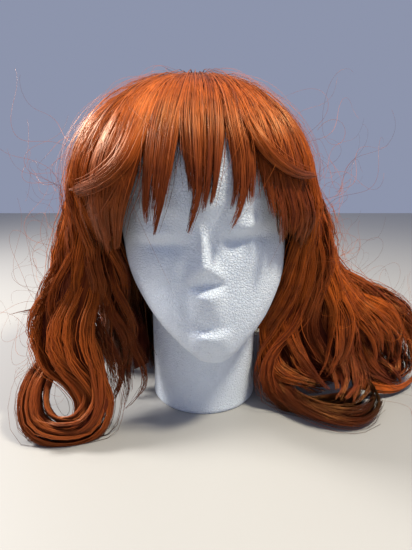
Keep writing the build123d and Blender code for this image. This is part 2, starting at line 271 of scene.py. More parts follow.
def foam_head_piece():
    """The foam head: for each bearing a profile that runs from the stand bore's end, under the
    base, up the neck and the face to the crown, with its rows spread evenly along it."""
    columns, rows = 226, 196
    thetas = np.linspace(-np.pi, np.pi, columns, endpoint=False)
    table = HEAD["radius"]
    bore, depth = 12.5, 70.0
    outer = np.array([np.interp(thetas, RADIUS_COLUMNS, row) for row in table])
    outer[-1] = 0
    step = np.hypot(np.diff(outer, axis=0), np.diff(RADIUS_ROWS)[:, None])
    along = np.vstack([np.zeros(columns), np.cumsum(step, axis=0)])
    shares = np.linspace(0, 1, rows) ** 1.0
    radius = np.stack([np.interp(shares[:-1] * along[-1, j], along[:, j], outer[:, j]) for j in range(columns)], 1)
    height = np.stack([np.interp(shares[:-1] * along[-1, j], along[:, j], RADIUS_ROWS) for j in range(columns)], 1)
    under = np.array([(bore, depth), (bore, depth / 2), (bore, 0.6), (bore + 0.6, 0), (30, 0)])
    radius = np.vstack([np.repeat(under[:, :1], columns, 1), radius])
    height = np.vstack([np.repeat(under[:, 1:], columns, 1), height])
    corners = np.stack([radius * np.sin(thetas), -radius * np.cos(thetas), height], -1).reshape(-1, 3)
    total = len(radius)
    quads = grid_quads(total, columns)
    first, last = len(corners), len(corners) + 1
    corners = np.vstack([corners, [(0, 0, depth)], [(0, 0, CROWN_Z)]])
    ring = np.arange(columns)
    beside = (ring + 1) % columns
    start_fan = np.stack([beside, ring, np.full(columns, first)], -1)
    end_fan = np.stack([(total - 1) * columns + ring, (total - 1) * columns + beside,
                        np.full(columns, last)], -1)
    return make_mesh("foam_head_form", corners, quads, np.vstack([start_fan, end_fan]))


def cap_net_piece():
    """The cap's stretch net: a thin closed shell over the skull, down to the cap's slanting edge.

    Each bearing has a row of places from the edge, where the skull meets a plane that drops
    from front to back, up to the crown. The outer side is moved out along the surface's own
    normal by NET_OUT and the inner side by NET_IN, and a rim joins them.
    """
    columns, rows = 150, 42
    theta = np.linspace(-np.pi, np.pi, columns, endpoint=False)
    slope = (CAP_EDGE_BACK[1] - CAP_EDGE_FRONT[1]) / (CAP_EDGE_BACK[0] - CAP_EDGE_FRONT[0])
    edge = np.full(columns, WIDEST_Z)
    for _ in range(30):
        reach = skull_radius(theta, edge)
        edge = 0.5 * edge + 0.5 * (CAP_EDGE_FRONT[1] + (-reach * np.cos(theta) - CAP_EDGE_FRONT[0]) * slope)
    share = np.linspace(0, 1, rows)[:, None]
    height = edge + (CROWN_Z - 0.4 - edge) * np.sin(share * np.pi / 2)
    reach = skull_radius(np.broadcast_to(theta, height.shape), height)
    middle = np.stack([reach * np.sin(theta), -reach * np.cos(theta), height], -1)
    up = np.gradient(middle, axis=0)
    beside = np.roll(middle, -1, axis=1) - np.roll(middle, 1, axis=1)
    normal = unit(np.cross(beside, up))
    outer = middle + normal * NET_OUT
    inner = middle + normal * NET_IN
    rings = np.vstack([outer[::-1], inner])
    corners = np.vstack([rings.reshape(-1, 3), [(0, 4, CROWN_Z + NET_OUT), (0, 4, CROWN_Z + NET_IN)]])
    total = 2 * rows
    quads = grid_quads(total, columns)[:, ::-1]
    ring = np.arange(columns)
    nxt = (ring + 1) % columns
    first, last = total * columns, total * columns + 1
    top = np.stack([ring, nxt, np.full(columns, first)], -1)
    under = np.stack([(total - 1) * columns + nxt, (total - 1) * columns + ring, np.full(columns, last)], -1)
    return make_mesh("cap_stretch_net", corners, quads, np.vstack([top, under]))


# ------------------------------------------------------------------ hair geometry
def on_hair_form(places, depth, settle):
    """Moves places towards the hair's outer form, at a share of its size under it.

    Each place is scaled about the form's centre until its level is 1 minus the depth. The
    move is full on the dome and dies away below the widest line.
    """
    away = places - HAIR_CENTRE
    half = np.stack([
        np.where(away[..., 0] < 0, HAIR_LEFT, HAIR_RIGHT),
        np.where(away[..., 1] < 0, HAIR_FRONT, HAIR_BACK),
        np.full(away.shape[:-1], HAIR_UP),
    ], -1)
    raised = away * np.array([1, 1, 1.0])
    raised[..., 2] = np.maximum(raised[..., 2], 0)
    level = np.linalg.norm(raised / half, axis=-1)
    scale = (1 - depth) / np.maximum(level, 0.2)
    moved = away * scale[..., None]
    moved[..., 2] = np.where(away[..., 2] > 0, moved[..., 2], away[..., 2])
    weight = (settle * smooth(172, 212, places[..., 2]))[..., None]
    return places + (HAIR_CENTRE + moved - places) * weight


def clear_of_head(places, gap=0.9):
    """Pushes places out from the neck's axis until they clear the foam head and the cap."""
    reach = head_reach(places)
    run, drop = CAP_EDGE_BACK[0] - CAP_EDGE_FRONT[0], CAP_EDGE_BACK[1] - CAP_EDGE_FRONT[1]
    edge = CAP_EDGE_FRONT[1] + (places[..., 1] - CAP_EDGE_FRONT[0]) * drop / run
    gap = gap + CAP_THICKNESS * smooth(-3, 3, places[..., 2] - edge)
    radius = np.hypot(places[..., 0], places[..., 1])
    wanted = np.where(reach > 0, reach + gap, 0)
    scale = np.maximum(radius, wanted) / np.maximum(radius, 1e-6)
    out = places.copy()
    out[..., :2] *= scale[..., None]
    return out


def fibre_tubes(lines, facing, radius):
    """Corners and faces of three-sided tubes round lines, and their shading normals.

    The first side looks along the facing direction made square to the line. Corners stand at
    a third of a turn about the line; a tube is flattened to 0.7 of its width. The shading
    normal leans from the tube's own towards the facing direction, so that fibres side by side
    catch the light together, as combed hair does.
    """
    count, steps = lines.shape[:2]
    along = unit(np.gradient(lines, axis=1))
    outward = unit(facing - along * np.sum(facing * along, -1, keepdims=True))
    sideways = np.cross(along, outward)
    turns = np.arange(3) * 2 * np.pi / 3
    ahead, aside = np.cos(turns)[:, None], np.sin(turns)[:, None]
    ring = 0.7 * ahead * outward[:, :, None, :] + 1.15 * aside * sideways[:, :, None, :]
    corners = lines[:, :, None, :] + ring * radius[:, :, None, None]
    normals = unit(0.55 * ring + 0.75 * outward[:, :, None, :])
    starts = np.arange(count)[:, None, None] * steps * 3
    quads = (grid_quads(steps, 3)[None] + starts).reshape(-1, 4)
    last = (steps - 1) * 3
    ends = np.array([(2, 1, 0), (last, last + 1, last + 2)])
    triangles = (ends[None] + starts).reshape(-1, 3)
    return corners.reshape(-1, 3), quads, triangles, normals.reshape(-1, 3)


class Fan:
    """A lock of hair between two edge lines, with its thickness and how its fibres gather."""

    def __init__(self, first, second, fibres, thick=(3, 9, 4), clumps=6, gather=0.5, ends=0.12,
                 steps=20, radius=0.4, core=0.86, wave=0.0, waves=2.0, settle=1.0, tone=0.5,
                 spread=1.08, loose=0.05, facing=1):
        self.first = np.array(first, float)
        self.second = np.array(second, float)
        self.fibres, self.thick, self.clumps, self.gather = fibres, thick, clumps, gather
        self.ends, self.steps, self.radius, self.core = ends, steps, radius, core
        self.wave, self.waves, self.settle, self.tone = wave, waves, settle, tone
        self.spread, self.loose = spread, loose
        middle = (self.first + self.second) / 2
        run = np.linalg.norm(np.diff(middle, axis=0), axis=1)
        self.knots = np.concatenate([[0], np.cumsum(run)])
        self.length = self.knots[-1]
        fine = np.linspace(0, 1, 240)
        line = through(self.knots, middle, fine * self.length)
        heading = unit(np.gradient(line, axis=0))
        turning = np.linalg.norm(np.gradient(heading, axis=0), axis=1)
        total = np.concatenate([[0], np.cumsum((1 / len(fine) + 0.35 * turning)[1:])])
        self.stations = lambda steps: np.interp(np.linspace(0, 1, steps), total / total[-1], fine)
        across = through(self.knots, self.second - self.first, fine * self.length)
        normal = unit(np.cross(heading, across))
        away = unit(line - np.array([0, 8, 185]))
        look = away[60:180] * 0.6 + np.array([0, -0.3, 0.3])
        self.sign = facing * np.sign(np.sum(normal[60:180] * look))

    def surface(self, across, deep, share):
        """Places and outward directions at a share of the length.

        A place lies between the edge lines by across, off their surface by deep times the
        thickness, then settled on the hair's form and kept off the head and the floor. Its
        outward direction is that of an oval round the lock.
        """
        at = share * self.length
        low = through(self.knots, self.first, at)
        high = through(self.knots, self.second, at)
        heading = np.gradient((low + high) / 2, axis=-2)
        normal = unit(np.cross(heading, high - low)) * self.sign
        root, middle, tip = self.thick
        thick = np.interp(share, [0, 0.12, 0.5, 0.8, 1], [root * 0.4, root, middle, middle, tip])
        places = low + (high - low) * across[..., None] + normal * (deep * thick)[..., None]
        dip = 0.035 * (1 - smooth(0, 0.07, share))
        places = on_hair_form(places, 0.045 * (1 - deep) + dip, self.settle)
        places = clear_of_head(places)
        places[..., 2] = np.maximum(places[..., 2], 0.7)
        facing = normal * (0.45 + 0.8 * deep)[..., None] + unit(high - low) * (1.4 * across - 0.7)[..., None]
        return places, unit(facing)

    def fibre_lines(self, chance):
        """Lines of all fibres, with their facing, tone, share of length and depth."""
        count = self.fibres
        angle = chance.uniform(0, 2 * np.pi, count)
        reach = np.sqrt(chance.uniform(0.25, 1, count))
        loose = np.where(chance.random(count) < self.loose, chance.uniform(0.1, 0.6, count), 0)
        across = 0.5 + 0.5 * self.spread * reach * (1 + loose) * np.cos(angle)
        deep = reach * (1 + 1.6 * loose) * np.sin(angle)
        clump_angle = chance.uniform(0, 2 * np.pi, self.clumps)
        clump_reach = np.sqrt(chance.uniform(0.1, 0.9, self.clumps))
        clump_across = np.sort(0.5 + 0.5 * clump_reach * np.cos(clump_angle))
        clump_deep = clump_reach * np.sin(clump_angle)
        clump = np.empty(count, int)
        ranked = np.arange(count) * self.clumps / count + chance.normal(0, 0.35, count)
        clump[np.argsort(across)] = np.clip(ranked.astype(int), 0, self.clumps - 1)
        end = 1 - self.ends * chance.beta(1.2, 2.0, count)
        end = end - self.ends * 0.5 * chance.random(self.clumps)[clump]
        share = self.stations(self.steps)[None, :] * end[:, None]
        # depth feeds the painted shade of the fibre colour: deeper fibres are painted darker.
        depth = np.clip((1 - deep) / 2, 0, 1)
        pull = self.gather * smooth(0.35, 1.0, share) * (loose == 0)[:, None]
        across = across[:, None] + (clump_across[clump] - across)[:, None] * pull
        deep = deep[:, None] + (clump_deep[clump] - deep)[:, None] * pull
        phase = chance.uniform(0, 2 * np.pi, (3, count, 1))
        clump_phase = chance.uniform(0, 2 * np.pi, self.clumps)[clump][:, None]
        across = across + 0.02 * np.sin(2 * np.pi * 1.7 * share + phase[0])
        across = across + 0.012 * np.sin(2 * np.pi * 4.1 * share + phase[1])
        deep = deep + 0.10 * np.sin(2 * np.pi * 1.3 * share + phase[2])
        growing = self.wave * smooth(0.1, 0.55, share)
        turn = 2 * np.pi * self.waves * share + clump_phase
        deep = deep + growing * np.sin(turn)
        across = across + 0.16 * growing * np.cos(turn + 0.6)
        lines, facing = self.surface(across, deep, share)
        tone = self.tone + 0.15 * chance.normal(size=self.clumps)[clump] + 0.15 * chance.normal(size=count)
        return lines, facing, np.clip(tone, 0, 1), share, depth

    def core_tube(self, chance):
        """The lock's core: a closed tube of oval rings inside the fibres, with streaks of tone."""
        around = 40
        turn = np.linspace(0, 2 * np.pi, around, endpoint=False)[:, None]
        share = self.stations(self.steps + 10)[None, :] * self.core * np.ones((around, 1))
        narrow = 1 - 0.7 * smooth(0.65 * self.core, self.core, share)
        across = 0.5 + 0.5 * self.spread * 0.88 * narrow * np.cos(turn)
        core = self.surface(across, 0.5 * narrow * np.sin(turn), share)[0].transpose(1, 0, 2)
        rows = len(core)
        ring = np.arange(around)
        beside = (ring + 1) % around
        pole, last = rows * around, (rows - 1) * around
        fans = np.vstack([
            np.stack([beside, ring, np.full(around, pole)], -1),
            np.stack([ring + last, beside + last, np.full(around, pole + 1)], -1),
        ])
        quads = grid_quads(rows, around)
        if self.sign < 0:
            quads, fans = quads[:, ::-1], fans[:, ::-1]
        corners = np.vstack([core.reshape(-1, 3), core[0].mean(0), core[-1].mean(0)])
        tone = np.concatenate([np.tile(chance.uniform(0, 0.9, around), rows), [0.3, 0.3]])
        along = np.concatenate([np.repeat(share[0], around), [0, 1]])
        round_it = np.abs(2 * ring / around - 1)
        streak = np.concatenate([np.tile(round_it, rows), [0.5, 0.5]])
        return corners, quads, fans, tone, along, streak

    def build(self, chance):
        """Everything that make_mesh takes, as a dict: the fibres, then the core in them."""
        lines, facing, tone, share, depth = self.fibre_lines(chance)
        count, steps = lines.shape[:2]
        taper = np.sqrt(1 - 0.75 * smooth(0.72, 1.0, self.stations(self.steps)))
        radius = self.radius * taper[None, :] * chance.uniform(0.7, 1.2, (count, 1))
        corners, quads, triangles, normals = fibre_tubes(lines, facing, radius)

        def spread(numbers):
            return np.repeat(np.broadcast_to(numbers, (count, steps)).ravel(), 3)

        made = {
            "corners": corners, "quads": quads, "triangles": triangles, "facing": normals,
            "tone": spread(tone[:, None]), "along": spread(share), "depth": spread(depth[:, None]),
            "streak": spread(chance.random((count, 1))),
            "core": np.zeros(len(corners), bool),
        }
        if self.core <= 0:
            return made
        corners, quads, triangles, tone, along, streak = self.core_tube(chance)
        first = len(made["corners"])
        # The core's depth of 0.78 paints it in shade: it stands for the hair deep in the lock, seen dark between the
        # fibres.
        extra = {
            "corners": corners, "quads": quads + first, "triangles": triangles + first,
            "facing": np.full(corners.shape, np.nan), "tone": tone, "along": along,
            "depth": np.full(len(corners), 0.78), "core": np.ones(len(corners), bool), "streak": streak,
        }
        return {key: np.concatenate([made[key], extra[key]]) for key in made}


def ribbon(points, widths, up=(0, -0.45, 0.9), **rest):
    """A fan about a middle line: half its width to each side, square to the line and to up."""
    points = np.array(points, float)
    side = unit(np.cross(np.gradient(points, axis=0), np.array(up)))
    half = side * np.interp(np.linspace(0, 1, len(points)), np.linspace(0, 1, len(widths)), widths)[:, None]
    return Fan(points - half, points + half, **rest)


def hair_piece(name, fans, seed):
    """One mesh from all fans of a section of hair."""
    chance = np.random.default_rng(SEED + seed)
    made = [fan.build(chance) for fan in fans]
    first = np.cumsum([0] + [len(lock["corners"]) for lock in made])
    for start, lock in zip(first, made):
        lock["quads"] = lock["quads"] + start
        lock["triangles"] = lock["triangles"] + start
    joined = {key: np.concatenate([lock[key] for lock in made]) for key in made[0]}
    values = {key: joined.pop(key) for key in ("tone", "along", "depth", "streak")}
    return make_mesh(name, values=values, **joined)


# ------------------------------------------------------------------ where the hair runs
# Every fan is given by two edge lines with the same number of points, from root to tip.
FRINGE = dict(thick=(2.5, 2.6, 0.9), clumps=2, gather=0.5, core=0.36, steps=14, radius=0.25, ends=0.32)


def fringe_veil():
    """A thin even layer under the fringe's clumps, from curtain to curtain."""
    return [Fan(
        [(-14, -2, 297), (-27, -50, 274), (-35, -78, 248), (-38, -90, 222), (-40, -92, 200), (-41, -90, 184)],
        [(7, -2, 298), (34, -46, 272), (48, -70, 248), (55, -80, 222), (56, -82, 202), (56, -82, 186)],
        620, thick=(2, 1.6, 1), clumps=9, gather=0.75, ends=0.62, core=0.34, steps=13, radius=0.2, tone=0.36)]


def fringe_left():
    return [
        Fan([(-14, -4, 297), (-32, -50, 275), (-40, -77, 250), (-43, -90, 224), (-44, -92, 200), (-41, -91, 178)],
            [(-10, -4, 297), (-15, -54, 275), (-20, -82, 250), (-24, -95, 224), (-27, -97, 200), (-35, -94, 170)],
            430, tone=0.55, **FRINGE),
        Fan([(-12, -4, 297), (-22, -54, 275), (-29, -81, 250), (-34, -94, 224), (-36, -96, 200), (-33, -94, 178)],
            [(-8, -4, 298), (-11, -55, 275), (-16, -83, 250), (-20, -96, 224), (-24, -97, 200), (-29, -95, 172)],
            400, tone=0.6, **FRINGE),
    ]


def fringe_centre():
    return [
        Fan([(-10, -4, 298), (-15, -55, 275), (-18, -83, 250), (-16, -96, 224), (-14, -98, 200), (-15, -96, 182)],
            [(-6, -4, 298), (-1, -56, 275), (0, -84, 250), (1, -97, 224), (0, -98, 202), (-10, -96, 172)],
            360, tone=0.6, **FRINGE),
        Fan([(-7, -4, 298), (-5, -56, 275), (-4, -84, 250), (-3, -97, 226), (-4, -98, 206), (-8, -97, 186)],
            [(-3, -4, 298), (8, -56, 275), (11, -84, 250), (10, -97, 226), (8, -98, 206), (-1, -97, 177)],
            300, tone=0.66, **FRINGE),
        Fan([(-4, -4, 298), (3, -56, 275), (6, -84, 250), (6, -97, 226), (5, -98, 208), (1, -97, 192)],
            [(1, -4, 298), (14, -55, 275), (17, -83, 250), (15, -96, 226), (12, -98, 208), (5, -97, 184)],
            240, tone=0.55, **FRINGE),
    ]


def fringe_right():
    return [
        Fan([(0, -4, 298), (12, -55, 275), (18, -83, 250), (23, -95, 226), (22, -96, 202), (13, -95, 180)],
            [(4, -4, 298), (23, -53, 274), (31, -81, 250), (36, -92, 226), (34, -94, 202), (19, -95, 173)],
            360, tone=0.62, **FRINGE),
        Fan([(2, -4, 298), (19, -53, 274), (26, -81, 250), (30, -93, 226), (30, -95, 204), (24, -94, 174)],
            [(6, -4, 298), (32, -50, 273), (41, -76, 249), (45, -87, 226), (44, -90, 204), (32, -92, 167)],
            320, tone=0.55, **FRINGE),
        Fan([(5, -4, 298), (27, -50, 273), (36, -76, 249), (42, -87, 226), (45, -90, 206), (44, -90, 170)],
            [(8, -3, 297), (40, -44, 271), (54, -65, 247), (63, -75, 226), (67, -76, 206), (63, -77, 158)],
            420, tone=0.5, **FRINGE),
    ]


def left_curtain():
    sweep = Fan(
        [(-13, -2, 297), (-31, -49, 273), (-41, -79, 244), (-53, -89, 222), (-71, -83, 208), (-92, -67, 201),
         (-109, -52, 198)],
        [(-17, 0, 297), (-42, -43, 271), (-53, -73, 244), (-64, -84, 227), (-79, -77, 216), (-94, -64, 210),
         (-108, -51, 207)],
        480, thick=(2.5, 3.6, 0.8), clumps=5, gather=0.45, core=0.7, steps=16, radius=0.28, settle=0.4, tone=0.95)
    low_sweep = Fan(
        [(-13, -2, 297), (-33, -50, 272), (-43, -78, 244), (-52, -87, 218), (-63, -82, 198), (-76, -70, 184), (-90, -56, 178)],
        [(-17, 0, 297), (-46, -42, 270), (-58, -68, 243), (-68, -76, 220), (-78, -71, 203), (-88, -60, 193), (-97, -48, 188)],
        260, thick=(2.5, 4.0, 1.0), clumps=5, gather=0.55, core=0.8, steps=16, radius=0.31, settle=0.9, tone=0.8)
    under = Fan(
        [(-14, -2, 297), (-31, -50, 272), (-41, -77, 246), (-49, -87, 222), (-55, -85, 200), (-61, -74, 180), (-67, -64, 158)],
        [(-20, 4, 296), (-58, -34, 266), (-76, -56, 240), (-87, -60, 215), (-89, -56, 190), (-87, -50, 168), (-84, -44, 146)],
        700, thick=(3, 6, 2.5), clumps=10, gather=0.38, core=0.92, steps=15, radius=0.33, tone=0.6)
    return [sweep, low_sweep, under]


def right_curtain():
    sweep = Fan(
        [(6, -2, 298), (22, -51, 273), (31, -79, 249), (44, -87, 230), (60, -81, 218), (78, -67, 212), (98, -50, 213)],
        [(9, 0, 298), (30, -47, 272), (41, -75, 249), (54, -83, 235), (68, -75, 225), (84, -61, 219), (100, -47, 218)],
        340, thick=(2.5, 3.2, 0.8), clumps=4, gather=0.5, core=0.7, steps=16, radius=0.28, settle=0.4, tone=0.8)
    over = Fan(
        [(9, -2, 298), (38, -44, 272), (56, -66, 246), (68, -72, 224), (74, -68, 203), (76, -60, 184), (72, -54, 166)],
        [(15, 2, 297), (56, -30, 268), (76, -46, 242), (88, -50, 216), (92, -46, 192), (91, -38, 170), (86, -30, 150)],
        300, thick=(2.5, 6.0, 1.4), clumps=5, gather=0.6, core=0.85, steps=16, radius=0.36, tone=0.56)
    under = Fan(
        [(8, -2, 297), (34, -46, 272), (48, -70, 246), (56, -80, 224), (60, -80, 205), (62, -78, 190), (61, -75, 172)],
        [(16, 4, 296), (58, -32, 266), (78, -50, 240), (88, -52, 215), (91, -46, 190), (90, -38, 168), (86, -30, 146)],
        600, thick=(3, 6, 2.5), clumps=10, gather=0.42, core=0.92, steps=15, radius=0.33, tone=0.38)
    return [sweep, over, under]


def left_side():
    """The standing lock: from the crown down in front, round its ring and up behind itself."""
    return [Fan(
        [(-20, 12, 297), (-70, 6, 277), (-107, 0, 243), (-121, -6, 207), (-122, -12, 174), (-136, -20, 136),
         (-145, -30, 108), (-149, -40, 86), (-145, -50, 68), (-132, -60, 54), (-115, -67, 43), (-107, -74, 30),
         (-110, -80, 20), (-119, -81, 18), (-129, -76, 27), (-130, -65, 42), (-122, -54, 52), (-108, -46, 56)],
        [(-17, 2, 298), (-52, -30, 266), (-80, -46, 236), (-92, -46, 206), (-90, -40, 174), (-92, -38, 140),
         (-98, -44, 114), (-99, -54, 94), (-92, -62, 78), (-83, -66, 62), (-77, -70, 46), (-75, -77, 27),
         (-86, -90, 8), (-114, -97, 3), (-144, -91, 8), (-157, -74, 31), (-150, -54, 56), (-128, -40, 68)],
        900, thick=(4, 10, 5), clumps=15, gather=0.26, core=0.9, steps=33, radius=0.35, loose=0.015, wave=0.7, waves=3.5,
        ends=0.07, tone=0.62)]


def left_front():
    outer = Fan(
        [(-16, 0, 297), (-52, -32, 266), (-76, -50, 238), (-86, -50, 208), (-86, -44, 176), (-86, -38, 146),
         (-90, -36, 118), (-98, -42, 94), (-98, -50, 72)],
        [(-20, 8, 296), (-72, -14, 266), (-104, -22, 236), (-117, -24, 204), (-117, -26, 172), (-122, -30, 142),
         (-132, -36, 114), (-138, -44, 90), (-132, -52, 70)],
        560, thick=(3, 7, 3), clumps=9, gather=0.42, core=0.88, steps=18, radius=0.34, wave=0.8, waves=3.0, tone=0.55)
    wisp = Fan(
        [(-112, -16, 128), (-126, -22, 108), (-140, -28, 97), (-155, -33, 92), (-168, -37, 91), (-178, -40, 90)],
        [(-108, -16, 136), (-124, -22, 116), (-140, -28, 103), (-155, -33, 97), (-168, -37, 95), (-178, -40, 92)],
        70, thick=(1.5, 2, 0.8), clumps=3, gather=0.4, core=0, steps=14, radius=0.2, ends=0.5, tone=0.5)
    inner = Fan(
        [(-14, 2, 297), (-48, -34, 268), (-72, -52, 240), (-78, -48, 206), (-76, -38, 174), (-73, -28, 146),
         (-68, -22, 118), (-62, -20, 92), (-55, -22, 66), (-52, -28, 42), (-54, -38, 20), (-70, -56, 5)],
        [(-18, 6, 296), (-60, -20, 266), (-86, -34, 238), (-96, -32, 206), (-97, -28, 174), (-99, -24, 146),
         (-104, -26, 118), (-106, -32, 92), (-102, -40, 68), (-94, -46, 46), (-88, -56, 26), (-92, -70, 10)],
        520, thick=(3, 9, 4), clumps=9, gather=0.4, core=0.66, steps=20, radius=0.34, wave=0.8, waves=3.0,
        ends=0.26, tone=0.32)
    return [outer, inner, wisp]


def left_inner():
    behind = Fan(
        [(-30, 36, 294), (-84, 34, 250), (-90, 36, 205), (-76, 40, 165), (-60, 44, 125), (-46, 44, 85),
         (-41, 42, 50), (-42, 36, 22), (-46, 26, 5)],
        [(-30, 20, 294), (-88, 6, 250), (-104, 0, 205), (-104, -2, 165), (-98, -6, 125), (-94, -10, 85),
         (-92, -14, 50), (-88, -20, 24), (-82, -26, 5)],
        460, thick=(3, 12, 6), clumps=9, gather=0.45, core=0.95, steps=18, radius=0.42, wave=0.4, tone=0.2)
    return [behind]


def left_back():
    return [Fan(
        [(-26, 22, 295), (-86, 16, 254), (-110, 12, 205), (-112, 10, 160), (-108, 12, 110), (-104, 20, 62),
         (-98, 28, 26), (-96, 44, 8), (-108, 62, 5), (-128, 62, 7), (-138, 48, 10)],
        [(-16, 34, 296), (-62, 78, 256), (-84, 90, 205), (-90, 92, 160), (-92, 90, 110), (-98, 86, 62),
         (-112, 82, 28), (-134, 76, 20), (-152, 60, 16), (-150, 40, 14), (-138, 30, 12)],
        560, thick=(4, 13, 5), clumps=10, gather=0.4, core=0.94, steps=22, radius=0.45, wave=0.6, waves=3.0,
        tone=0.4)]


def right_side():
    """The front lock: down beside the face, under itself and out along the table."""
    return [Fan(
        [(12, 0, 297), (52, -34, 266), (76, -52, 236), (84, -48, 205), (78, -36, 172), (73, -26, 138),
         (67, -20, 104), (57, -16, 76), (52, -16, 50), (56, -26, 27), (78, -38, 14), (104, -44, 10),
         (130, -40, 13), (142, -30, 20), (140, -18, 28)],
        [(14, 4, 297), (58, -22, 268), (84, -36, 236), (96, -34, 205), (97, -26, 172), (100, -18, 138),
         (99, -14, 104), (90, -14, 78), (76, -18, 56), (68, -34, 34), (78, -56, 12), (106, -70, 4),
         (142, -68, 5), (166, -46, 14), (162, -24, 26)],
        960, thick=(3, 9, 4), clumps=12, gather=0.3, core=0.86, steps=27, radius=0.34, wave=0.7, waves=3.0,
        ends=0.1, tone=0.30)]


def right_front():
    outer = Fan(
        [(14, 2, 297), (56, -27, 269), (82, -42, 238), (94, -40, 205), (96, -32, 172), (98, -20, 138),
         (98, -12, 104), (98, -14, 76), (102, -20, 50), (112, -30, 32), (120, -46, 22), (112, -58, 16)],
        [(16, 8, 297), (62, 6, 276), (92, 0, 243), (104, 0, 205), (108, 2, 172), (116, 4, 138),
         (126, 8, 106), (138, 8, 78), (148, 0, 54), (154, -14, 38), (152, -38, 26), (134, -60, 16)],
        800, thick=(4, 9, 4), clumps=12, gather=0.36, core=0.9, steps=22, radius=0.34, wave=0.8, waves=3.0,
        tone=0.4)
    inner = Fan(
        [(84, -28, 205), (86, -22, 165), (82, -14, 125), (76, -8, 90), (74, -4, 60), (84, -6, 36), (100, -16, 22)],
        [(100, -16, 205), (106, -8, 165), (108, -2, 125), (108, 4, 90), (112, 2, 60), (120, -8, 40), (124, -24, 28)],
        240, thick=(3, 7, 3), clumps=6, gather=0.4, core=0.95, steps=17, radius=0.4, wave=0.5, tone=0.3)
    return [outer, inner]


def right_waves():
    """Small locks that cross each other over the pile at the right."""
    small = dict(steps=18, radius=0.30, core=0.6, clumps=3, gather=0.7, wave=0.6, settle=0.0, ends=0.5)
    return [
        ribbon([(104, -6, 172), (112, -8, 140), (122, -12, 108), (130, -16, 80), (128, -26, 56), (116, -38, 36),
                (100, -46, 24)], (9, 13, 12, 9, 3), fibres=190, thick=(3, 5, 2), tone=0.6, **small),
        ribbon([(92, -22, 168), (90, -20, 132), (84, -16, 100), (82, -18, 74), (90, -32, 46), (106, -44, 26),
                (128, -50, 17)], (8, 12, 10, 8, 3), fibres=190, thick=(3, 5, 2), tone=0.5, **small),
        ribbon([(112, 8, 150), (124, 10, 122), (142, 8, 98), (158, 0, 76), (166, -14, 54), (160, -32, 34),
                (144, -46, 22)], (9, 13, 11, 8, 3), fibres=200, thick=(3, 5, 2), tone=0.62, **small),
        ribbon([(116, 14, 140), (132, 16, 114), (152, 12, 92), (172, 2, 72), (186, -8, 50), (180, -18, 32),
                (164, -16, 24)], (9, 12, 10, 8, 5), fibres=190, thick=(3, 5, 2), tone=0.56, **small),
        ribbon([(126, 26, 120), (152, 28, 98), (178, 24, 80), (200, 16, 60), (208, 6, 38), (198, -2, 22),
                (184, 2, 16)], (9, 12, 10, 8, 5), fibres=190, thick=(3, 5, 2), tone=0.5, **small),
        ribbon([(70, -20, 96), (62, -20, 70), (66, -26, 46), (82, -38, 30), (104, -44, 26), (124, -36, 28)],
               (8, 10, 8, 5), fibres=130, thick=(3, 4, 2), tone=0.42, **small),
    ]


def right_outer():
    crest = Fan(
        [(16, 10, 296), (64, 0, 274), (92, -4, 242), (102, -2, 205), (108, 2, 172), (116, 10, 140),
         (128, 22, 114), (146, 24, 96), (168, 26, 84), (190, 26, 72), (208, 18, 56), (212, 4, 36), (204, -6, 18)],
        [(16, 16, 296), (62, 42, 272), (88, 52, 240), (100, 56, 205), (108, 56, 172), (120, 52, 142),
         (136, 48, 118), (158, 50, 104), (182, 52, 94), (206, 48, 80), (224, 36, 58), (227, 16, 34), (220, 0, 14)],
        640, thick=(4, 9, 4), clumps=12, gather=0.4, core=0.88, steps=20, radius=0.38, wave=0.8, waves=3.0,
        tone=0.4)
    heap = Fan(
        [(122, 34, 120), (140, 36, 92), (160, 34, 66), (178, 26, 42), (190, 14, 24), (186, 0, 12), (172, -2, 7)],
        [(128, 52, 120), (152, 58, 94), (178, 58, 70), (202, 50, 48), (218, 32, 28), (216, 10, 12), (200, -6, 6)],
        300, thick=(4, 12, 5), clumps=7, gather=0.5, core=0.93, steps=17, radius=0.42, wave=0.5, tone=0.3)
    floor_lock = Fan(
        [(118, 10, 100), (126, 8, 70), (134, 2, 44), (146, -8, 24), (164, -14, 12), (182, -12, 6), (196, -2, 5)],
        [(140, 34, 100), (156, 32, 72), (170, 24, 48), (184, 12, 30), (198, 2, 18), (206, 4, 10), (208, 12, 8)],
        240, thick=(4, 9, 4), clumps=7, gather=0.45, core=0.93, steps=17, radius=0.42, wave=0.5, tone=0.3)
    stray = Fan(
        [(150, -26, 12), (168, -26, 8), (184, -22, 5), (200, -14, 5), (214, -4, 9), (224, 8, 14)],
        [(152, -20, 20), (170, -20, 14), (186, -17, 10), (202, -9, 9), (216, 0, 13), (226, 11, 18)],
        80, thick=(2, 2.5, 0.8), clumps=3, gather=0.5, core=0, steps=14, radius=0.33, tone=0.55)
    filling = Fan(
        [(70, 16, 110), (64, 12, 76), (62, 2, 44), (70, -10, 20), (92, -20, 8), (120, -24, 5)],
        [(112, 20, 110), (110, 18, 84), (112, 10, 62), (126, 0, 44), (152, -4, 36), (176, -8, 26)],
        220, thick=(4, 10, 5), clumps=7, gather=0.3, core=0.95, steps=15, radius=0.42, wave=0.4, tone=0.1)
    return [crest, heap, floor_lock, filling, stray]


def right_back():
    return [Fan(
        [(18, 22, 296), (68, 30, 268), (95, 32, 235), (105, 30, 200), (108, 28, 160), (112, 28, 115), (116, 34, 70),
         (118, 48, 32), (116, 66, 12), (128, 84, 8), (148, 88, 9), (158, 76, 11)],
        [(6, 36, 296), (40, 88, 262), (62, 106, 235), (76, 106, 200), (82, 104, 160), (86, 100, 115), (90, 98, 70),
         (106, 106, 36), (134, 112, 22), (160, 106, 18), (174, 86, 15), (168, 66, 13)],
        540, thick=(4, 13, 5), clumps=10, gather=0.4, core=0.94, steps=21, radius=0.45, wave=0.6, waves=3.0,
        tone=0.4)]


